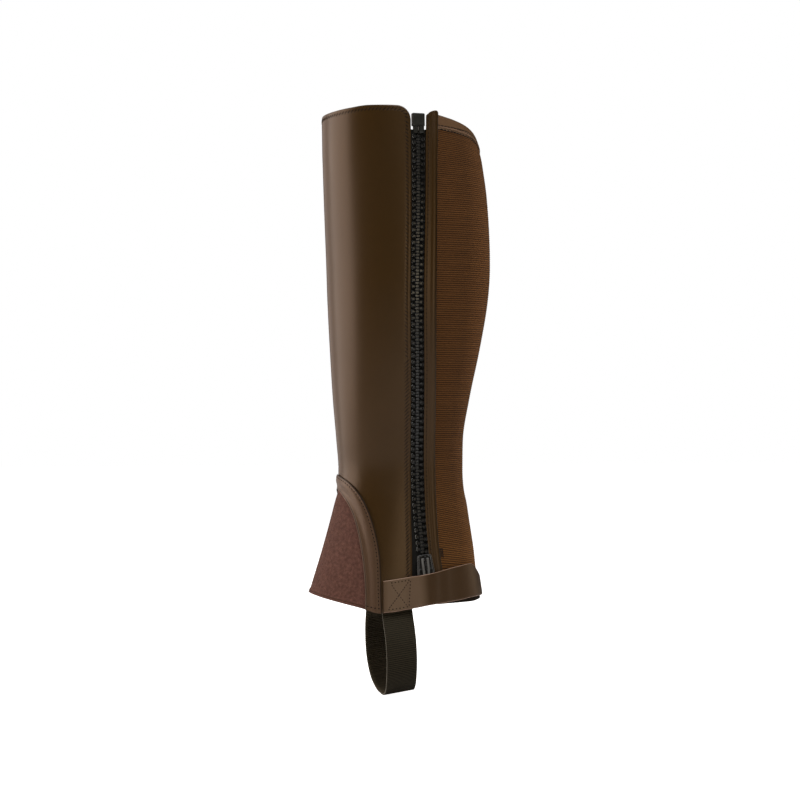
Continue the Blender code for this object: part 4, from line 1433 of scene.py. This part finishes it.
# across the strip, as shares of its width
stripEdge = {"roll": 0.07, "rollDrop": 0.00025, "stitchAt": 0.17, "grooveWidth": 0.045,
             "grooveDepth": 0.00022}
stripProfile = smoothTable("share stand", [
    (0.00, 0.0014),
    (0.17, 0.0014),
    (0.34, 0.0013),
    (0.52, 0.0006),
    (0.69, -0.0003),
    (0.85, -0.0006),
    (1.00, -0.0006),
])


def shareAtAngle(angle, across):
    low, high = 0.0, 1.0
    for _ in range(40):
        middle = (low + high) / 2
        if archPoint(middle, across)[0] < angle:
            low = middle
        else:
            high = middle
    return low


def makeGusset():
    start = shareAtAngle(gusset["topAngle"], gusset["edge"])

    def place(share, up):
        angle, level = archPoint(1 - up * (1 - start), gusset["edge"])
        angle *= 2 * share - 1
        above = level - pattern["hem"]
        hem = min(1.0, max(0.0, (gusset["hemDeep"] - above) / gusset["hemStep"]))
        lift = zipParts["under"] + gusset["hemThick"] * hem
        return skin(angle, heightOf(angle, level), lift), clothPlace(angle, level)

    rows = evenSteps(0.0, gusset["fineShare"], gusset["fineRows"])
    rows += evenSteps(gusset["fineShare"], 1.0, gusset["rows"])[1:]
    return layCloth("gusset_cloth", [(evenSteps(0.0, 1.0, gusset["columns"]), rows, place)],
                    gusset["wall"], [gussetCloth], ["front_gusset"], thinRounding)


def stripPoint(side, across, lift=0.0):
    angle, level = archPoint(abs(side), across)
    if side < 0:
        angle = -angle
    return angle, heightOf(angle, level), stripProfile(across).stand + lift


def makeStrip():
    def place(across, side):
        lift = turnedEdge(across, stripEdge)
        lift -= strip["seamDepth"] * math.exp(-((across - strip["seamAt"]) / strip["seamWidth"]) ** 2)
        angle, height, stand = stripPoint(side, across, lift)
        return skin(angle, height, stand), (across * strip["clothWidth"], side * strip["clothLength"])

    columns = evenSteps(0.0, 0.88, strip["columns"]) + [0.905, 0.925, 0.94, 0.955, 0.975, 1.0]
    return layCloth("gusset_strip", [(columns, evenSteps(-1.0, 1.0, strip["rows"]), place)],
                    strip["wall"], [stripLeather, suede, cutEdge], ["gusset_binding"], thinRounding)


def stripStitches():
    end = strip["rowEnd"]
    rows = [[withNormal(*stripPoint(side, stripEdge["stitchAt"], -stripEdge["grooveDepth"]))
             for side in evenSteps(-end, end, 260)]]
    for side in (-strip["endRow"], strip["endRow"]):
        rows.append([withNormal(*stripPoint(side, across)) for across in evenSteps(0.04, 0.97, 14)])
    return sewPiece("strip_stitching", [(row, dashThread) for row in rows], [darkThread, needleHoleShade])


# Ankle strap and its snap

ankleStrap = {
    "wall": 0.0018,
    "start": 78.4,
    "lean": 2.7,
    "end": 254.0,
    "columns": 200,
    "rows": 22,
    "edgeRounding": 0.0005,
    "clothLength": 0.185,
}
strapEdge = {"roll": 0.0012, "rollDrop": 0.00035}
strapThread = {**dashThread, "pitch": 0.0029}
crossThread = {**dashThread, "pitch": 0.0024, "cover": 0.8, "width": 0.0007}
strapSewing = {
    "angles": (80.3, 93.4),  # the stitched end, in front and behind
    "shares": (0.905, 0.085),  # its upper and lower row
    "sunk": -0.0001,
    "crossFrom": 92.2,
    "crossAcross": 11.0,
    "crossSum": 0.98,  # of the shares at both ends of a crossing row
    "crossings": ((0.86, 1.0), (0.12, 0.8)),  # where each starts, and how full its stitches are
}
strapTable = smoothTable("angle lower upper lift", [
    (75.0, -0.2913, -0.2651, 0.0004),
    (84.0, -0.2905, -0.2635, 0.0004),
    (91.0, -0.2890, -0.2621, 0.0005),
    (95.0, -0.2880, -0.2612, 0.0020),
    (99.0, -0.2868, -0.2604, 0.0043),
    (104.0, -0.2855, -0.2593, 0.0050),
    (109.0, -0.2847, -0.2583, 0.0043),
    (114.0, -0.2842, -0.2573, 0.0020),
    (120.0, -0.2836, -0.2561, 0.0004),
    (125.0, -0.2831, -0.2552, -0.0010),
    (131.0, -0.2825, -0.2543, -0.0016),
    (147.0, -0.2806, -0.2526, -0.0016),
    (154.0, -0.2804, -0.2542, -0.0016),
    (161.0, -0.2803, -0.2584, -0.0016),
    (169.0, -0.2800, -0.2624, -0.0016),
    (180.0, -0.2794, -0.2634, -0.0016),
    (204.0, -0.2780, -0.2588, -0.0015),
    (212.0, -0.2775, -0.2565, 0.0004),
    (228.0, -0.2795, -0.2555, 0.0005),
    (254.0, -0.2830, -0.2566, 0.0005),
])


def strapPoint(angle, share, lift=0.0):
    row = strapTable(angle)
    return angle, row.lower + (row.upper - row.lower) * share, row.lift + ankleStrap["wall"] + lift


def strapAngle(across, share):
    start = ankleStrap["start"] - ankleStrap["lean"] * share
    return start + (ankleStrap["end"] - start) * across


def makeAnkleStrap():
    def place(across, share):
        angle = strapAngle(across, share)
        row = strapTable(angle)
        distance = min(share, 1 - share) * (row.upper - row.lower)
        angle, height, stand = strapPoint(angle, share, rolledEdge(distance, strapEdge))
        return skin(angle, height, stand), (across * ankleStrap["clothLength"], distance)

    rows = [0.0, 0.015, 0.035, 0.06, 0.09] + evenSteps(0.12, 0.88, ankleStrap["rows"])
    rows += [0.91, 0.94, 0.965, 0.985, 1.0]
    return layCloth("strap_leather", [(evenSteps(0.0, 1.0, ankleStrap["columns"]), rows, place)],
                    ankleStrap["wall"], [strapLeather, suede, paleEdge], ["ankle_strap"],
                    ankleStrap["edgeRounding"])


def strapStitches():
    startAngle, endAngle = strapSewing["angles"]
    upper, lower = strapSewing["shares"]

    def sewn(angle, share):
        return withNormal(*strapPoint(angle, share, strapSewing["sunk"]))

    rows = [[sewn(angle, share) for angle in evenSteps(startAngle, endAngle, 30)] for share in (upper, lower)]
    rows.append([sewn(endAngle, share) for share in evenSteps(upper, lower, 30)])
    stitched = [(row, strapThread) for row in rows]
    for start, full in strapSewing["crossings"]:
        rise = strapSewing["crossSum"] - 2 * start
        path = [sewn(strapSewing["crossFrom"] - strapSewing["crossAcross"] * part, start + rise * part)
                for part in evenSteps(0.0, 1.0, 30)]
        stitched.append((path, {**crossThread, "cover": crossThread["cover"] * full}))
    return sewPiece("strap_stitching", stitched, [darkThread, needleHoleShade])


snap = {
    "angle": 245.0,
    "radius": 0.0068,
    "height": 0.0024,
    "stand": 0.0003,
    # shares of radius and height
    "profile": ((0.0, 1.0), (0.55, 0.98), (0.70, 0.90), (0.76, 0.76), (0.84, 0.80), (0.93, 0.70),
                (0.99, 0.40), (1.0, 0.0), (0.0, 0.0)),
}


def makeSnap():
    middle = skin(*strapPoint(snap["angle"], 0.5))
    forward = skin(*strapPoint(snap["angle"] + 4, 0.5)) - skin(*strapPoint(snap["angle"] - 4, 0.5))
    upward = skin(*strapPoint(snap["angle"], 0.7)) - skin(*strapPoint(snap["angle"], 0.3))
    out = forward.cross(upward).normalized()
    turn = Vector((0.0, 0.0, 1.0)).rotation_difference(out).to_matrix().to_4x4()
    turn.translation = middle + out * snap["stand"]
    bm = bmesh.new()
    verts = [bm.verts.new((across * snap["radius"], 0.0, up * snap["height"]))
             for across, up in snap["profile"]]
    edges = [bm.edges.new(pair) for pair in zip(verts, verts[1:])]
    bmesh.ops.spin(bm, geom=verts + edges, cent=(0, 0, 0), axis=(0, 0, 1), angle=2 * math.pi, steps=40,
                   use_merge=True)
    bmesh.ops.remove_doubles(bm, verts=bm.verts, dist=weldWithin)
    bmesh.ops.recalc_face_normals(bm, faces=bm.faces)
    bm.transform(turn)
    return linkPiece("strap_snap_cap", bm, [capMetal], replaced=["strap_snap"])


# Foot strap

footStrap = {
    "wall": 0.0015,
    "width": 0.0251,
    "slope": 0.16,
    "ribs": 142,
    "stepsPerRib": 4,
    "ribDepth": 0.00030,
    "ribFade": 0.0012,  # towards both selvedges
    "middle": -0.32,
    "tangentStep": 0.004,
}
footLoop = smoothTable("step halfSpan height front", [
    (0.0, 0.0404, -0.2790, -0.0283),
    (1.0, 0.0414, -0.2900, -0.0283),
    (2.0, 0.0455, -0.2985, -0.0281),
    (3.0, 0.0515, -0.3080, -0.0277),
    (4.0, 0.0552, -0.3180, -0.0272),
    (5.0, 0.0558, -0.3285, -0.0267),
    (6.0, 0.0530, -0.3390, -0.0261),
    (7.0, 0.0465, -0.3485, -0.0253),
    (8.0, 0.0365, -0.3565, -0.0242),
    (9.0, 0.0200, -0.3625, -0.0228),
    (10.0, 0.0000, -0.3645, -0.0218),
])


def footPoint(side, across):
    row = footLoop(10.0 * (1 - abs(side)))
    y = -row.halfSpan if side > 0 else row.halfSpan
    behind = footStrap["width"] * across
    return Vector((row.front + behind, y, row.height + footStrap["slope"] * behind))


def makeFootStrap():
    # the loop's sides a rib's step apart, measured along the loop
    fine = evenSteps(-1.0, 1.0, 600)
    lengths = lengthsAlong([footPoint(side, 0.5) for side in fine])
    steps = footStrap["ribs"] * footStrap["stepsPerRib"]
    sides = []
    i = 0
    for k in range(steps + 1):
        at = lengths[-1] * k / steps
        while i < len(lengths) - 2 and lengths[i + 1] < at:
            i += 1
        sides.append(fine[i] + (fine[i + 1] - fine[i]) * (at - lengths[i]) / (lengths[i + 1] - lengths[i]))

    def place(across, row):
        side = sides[row]
        point = footPoint(side, across)
        step = footStrap["tangentStep"]
        along = footPoint(min(1.0, side + step), across) - footPoint(max(-1.0, side - step), across)
        out = Vector((0.0, along.z, -along.y)).normalized()
        if out.dot(Vector((0.0, point.y, point.z - footStrap["middle"]))) < 0:
            out.negate()
        valley = 1 - ribCrest(row, footStrap["stepsPerRib"])
        edge = min(across, 1 - across) * footStrap["width"]
        depth = footStrap["ribDepth"] * valley * min(1.0, edge / footStrap["ribFade"])
        return point - out * depth, (across * footStrap["width"], row / steps * lengths[-1])

    across = [0.0, 0.03, 0.06] + evenSteps(0.1, 0.9, 12) + [0.94, 0.97, 1.0]
    return layCloth("foot_webbing", [(across, list(range(steps + 1)), place)], footStrap["wall"],
                    [footElastic, footBack, selvedge], ["foot_strap"])


print("shaping the leather")
makeCamera()
shin = makeShinPanel()
shinRows = shinStitches()
facingPiece = makeFacing()
facingRow = facingStitches()
stripPiece = makeStrip()
stripRow = stripStitches()
strapPiece = makeAnkleStrap()
strapRow = strapStitches()
snapCap = makeSnap()
print("shaping the elastic")
calf = makeCalfPanel()
tack = makeTack()
calfEdge = makeCalfBinding()
calfRow = bindingStitches()
gussetPiece = makeGusset()
footPiece = makeFootStrap()
print("making the zip")
tapes = makeTapes()
makeTeeth()
makeZipBox()
makeSlider()
makePull()

# Floor and light

studio = {
    "floor": -0.3668,
    "floorSize": 14.0,
    "white": (0.90, 0.90, 0.90),
    "glow": 0.97,  # keeps the floor as pale as the backdrop
    "backdrop": 1.0,
    "surround": 0.03,  # the dim room that the part reflects
    "aim": (0.0, 0.0, -0.1),
    "lights": [
        # name, power, colour, width, height, azimuth, elevation, distance
        ("left softbox", 46.0, (1.0, 0.89, 0.82), 1.5, 2.6, -98.0, 6.0, 1.5),
        ("rim softbox", 10.5, (1.0, 0.82, 0.74), 1.3, 2.6, -146.0, 6.0, 1.8),
        ("top light", 56.0, (1.0, 1.0, 1.0), 2.0, 2.0, 14.0, 58.0, 2.6),
        ("front light", 4.0, (1.0, 0.84, 0.58), 0.78, 0.26, 9.0, 3.0, 2.4),
        ("right fill", 7.5, (1.0, 0.80, 0.58), 0.8, 2.0, 100.0, 10.0, 2.2),
    ],
}


def whenSeen(tree, seen, unseen):
    # one strength where the camera looks straight at it, another for the light that it gives
    path = addNode(tree, "ShaderNodeLightPath")
    return spread(tree, path.outputs["Is Camera Ray"], 0.0, 1.0, unseen, seen)


def makeStudio():
    bm = bmesh.new()
    bmesh.ops.create_grid(bm, x_segments=1, y_segments=1, size=studio["floorSize"] / 2)
    bmesh.ops.translate(bm, verts=bm.verts, vec=(0.0, 0.0, studio["floor"]))
    mesh = bpy.data.meshes.new("floor")
    bm.to_mesh(mesh)
    bm.free()
    made, tree, shader = newMaterial("floor", studio["white"], 0.85, 0.2)
    shader.inputs["Emission Color"].default_value = (1.0, 1.0, 1.0, 1.0)
    tree.links.new(whenSeen(tree, studio["glow"], 0.0), shader.inputs["Emission Strength"])
    mesh.materials.append(made)
    floor = bpy.data.objects.new("floor", mesh)
    bpy.context.scene.collection.objects.link(floor)
    world = bpy.data.worlds.new("studio")
    world.use_nodes = True
    background = world.node_tree.nodes["Background"]
    background.inputs["Color"].default_value = (1.0, 1.0, 1.0, 1.0)
    world.node_tree.links.new(whenSeen(world.node_tree, studio["backdrop"], studio["surround"]),
                              background.inputs["Strength"])
    bpy.context.scene.world = world
    for name, power, colour, width, height, azimuth, elevation, distance in studio["lights"]:
        light = bpy.data.lights.new(name, "AREA")
        light.shape = "RECTANGLE"
        light.size = width
        light.size_y = height
        light.energy = power
        light.color = colour
        holder = bpy.data.objects.new(name, light)
        turn, rise = math.radians(azimuth), math.radians(elevation)
        away = Vector((math.sin(turn) * math.cos(rise), -math.cos(turn) * math.cos(rise), math.sin(rise)))
        holder.location = Vector(studio["aim"]) + away * distance
        holder.rotation_euler = away.to_track_quat("Z", "Y").to_euler()
        bpy.context.scene.collection.objects.link(holder)


makeStudio()
bpy.context.scene.view_settings.view_transform = "Standard"
print("scene ready")
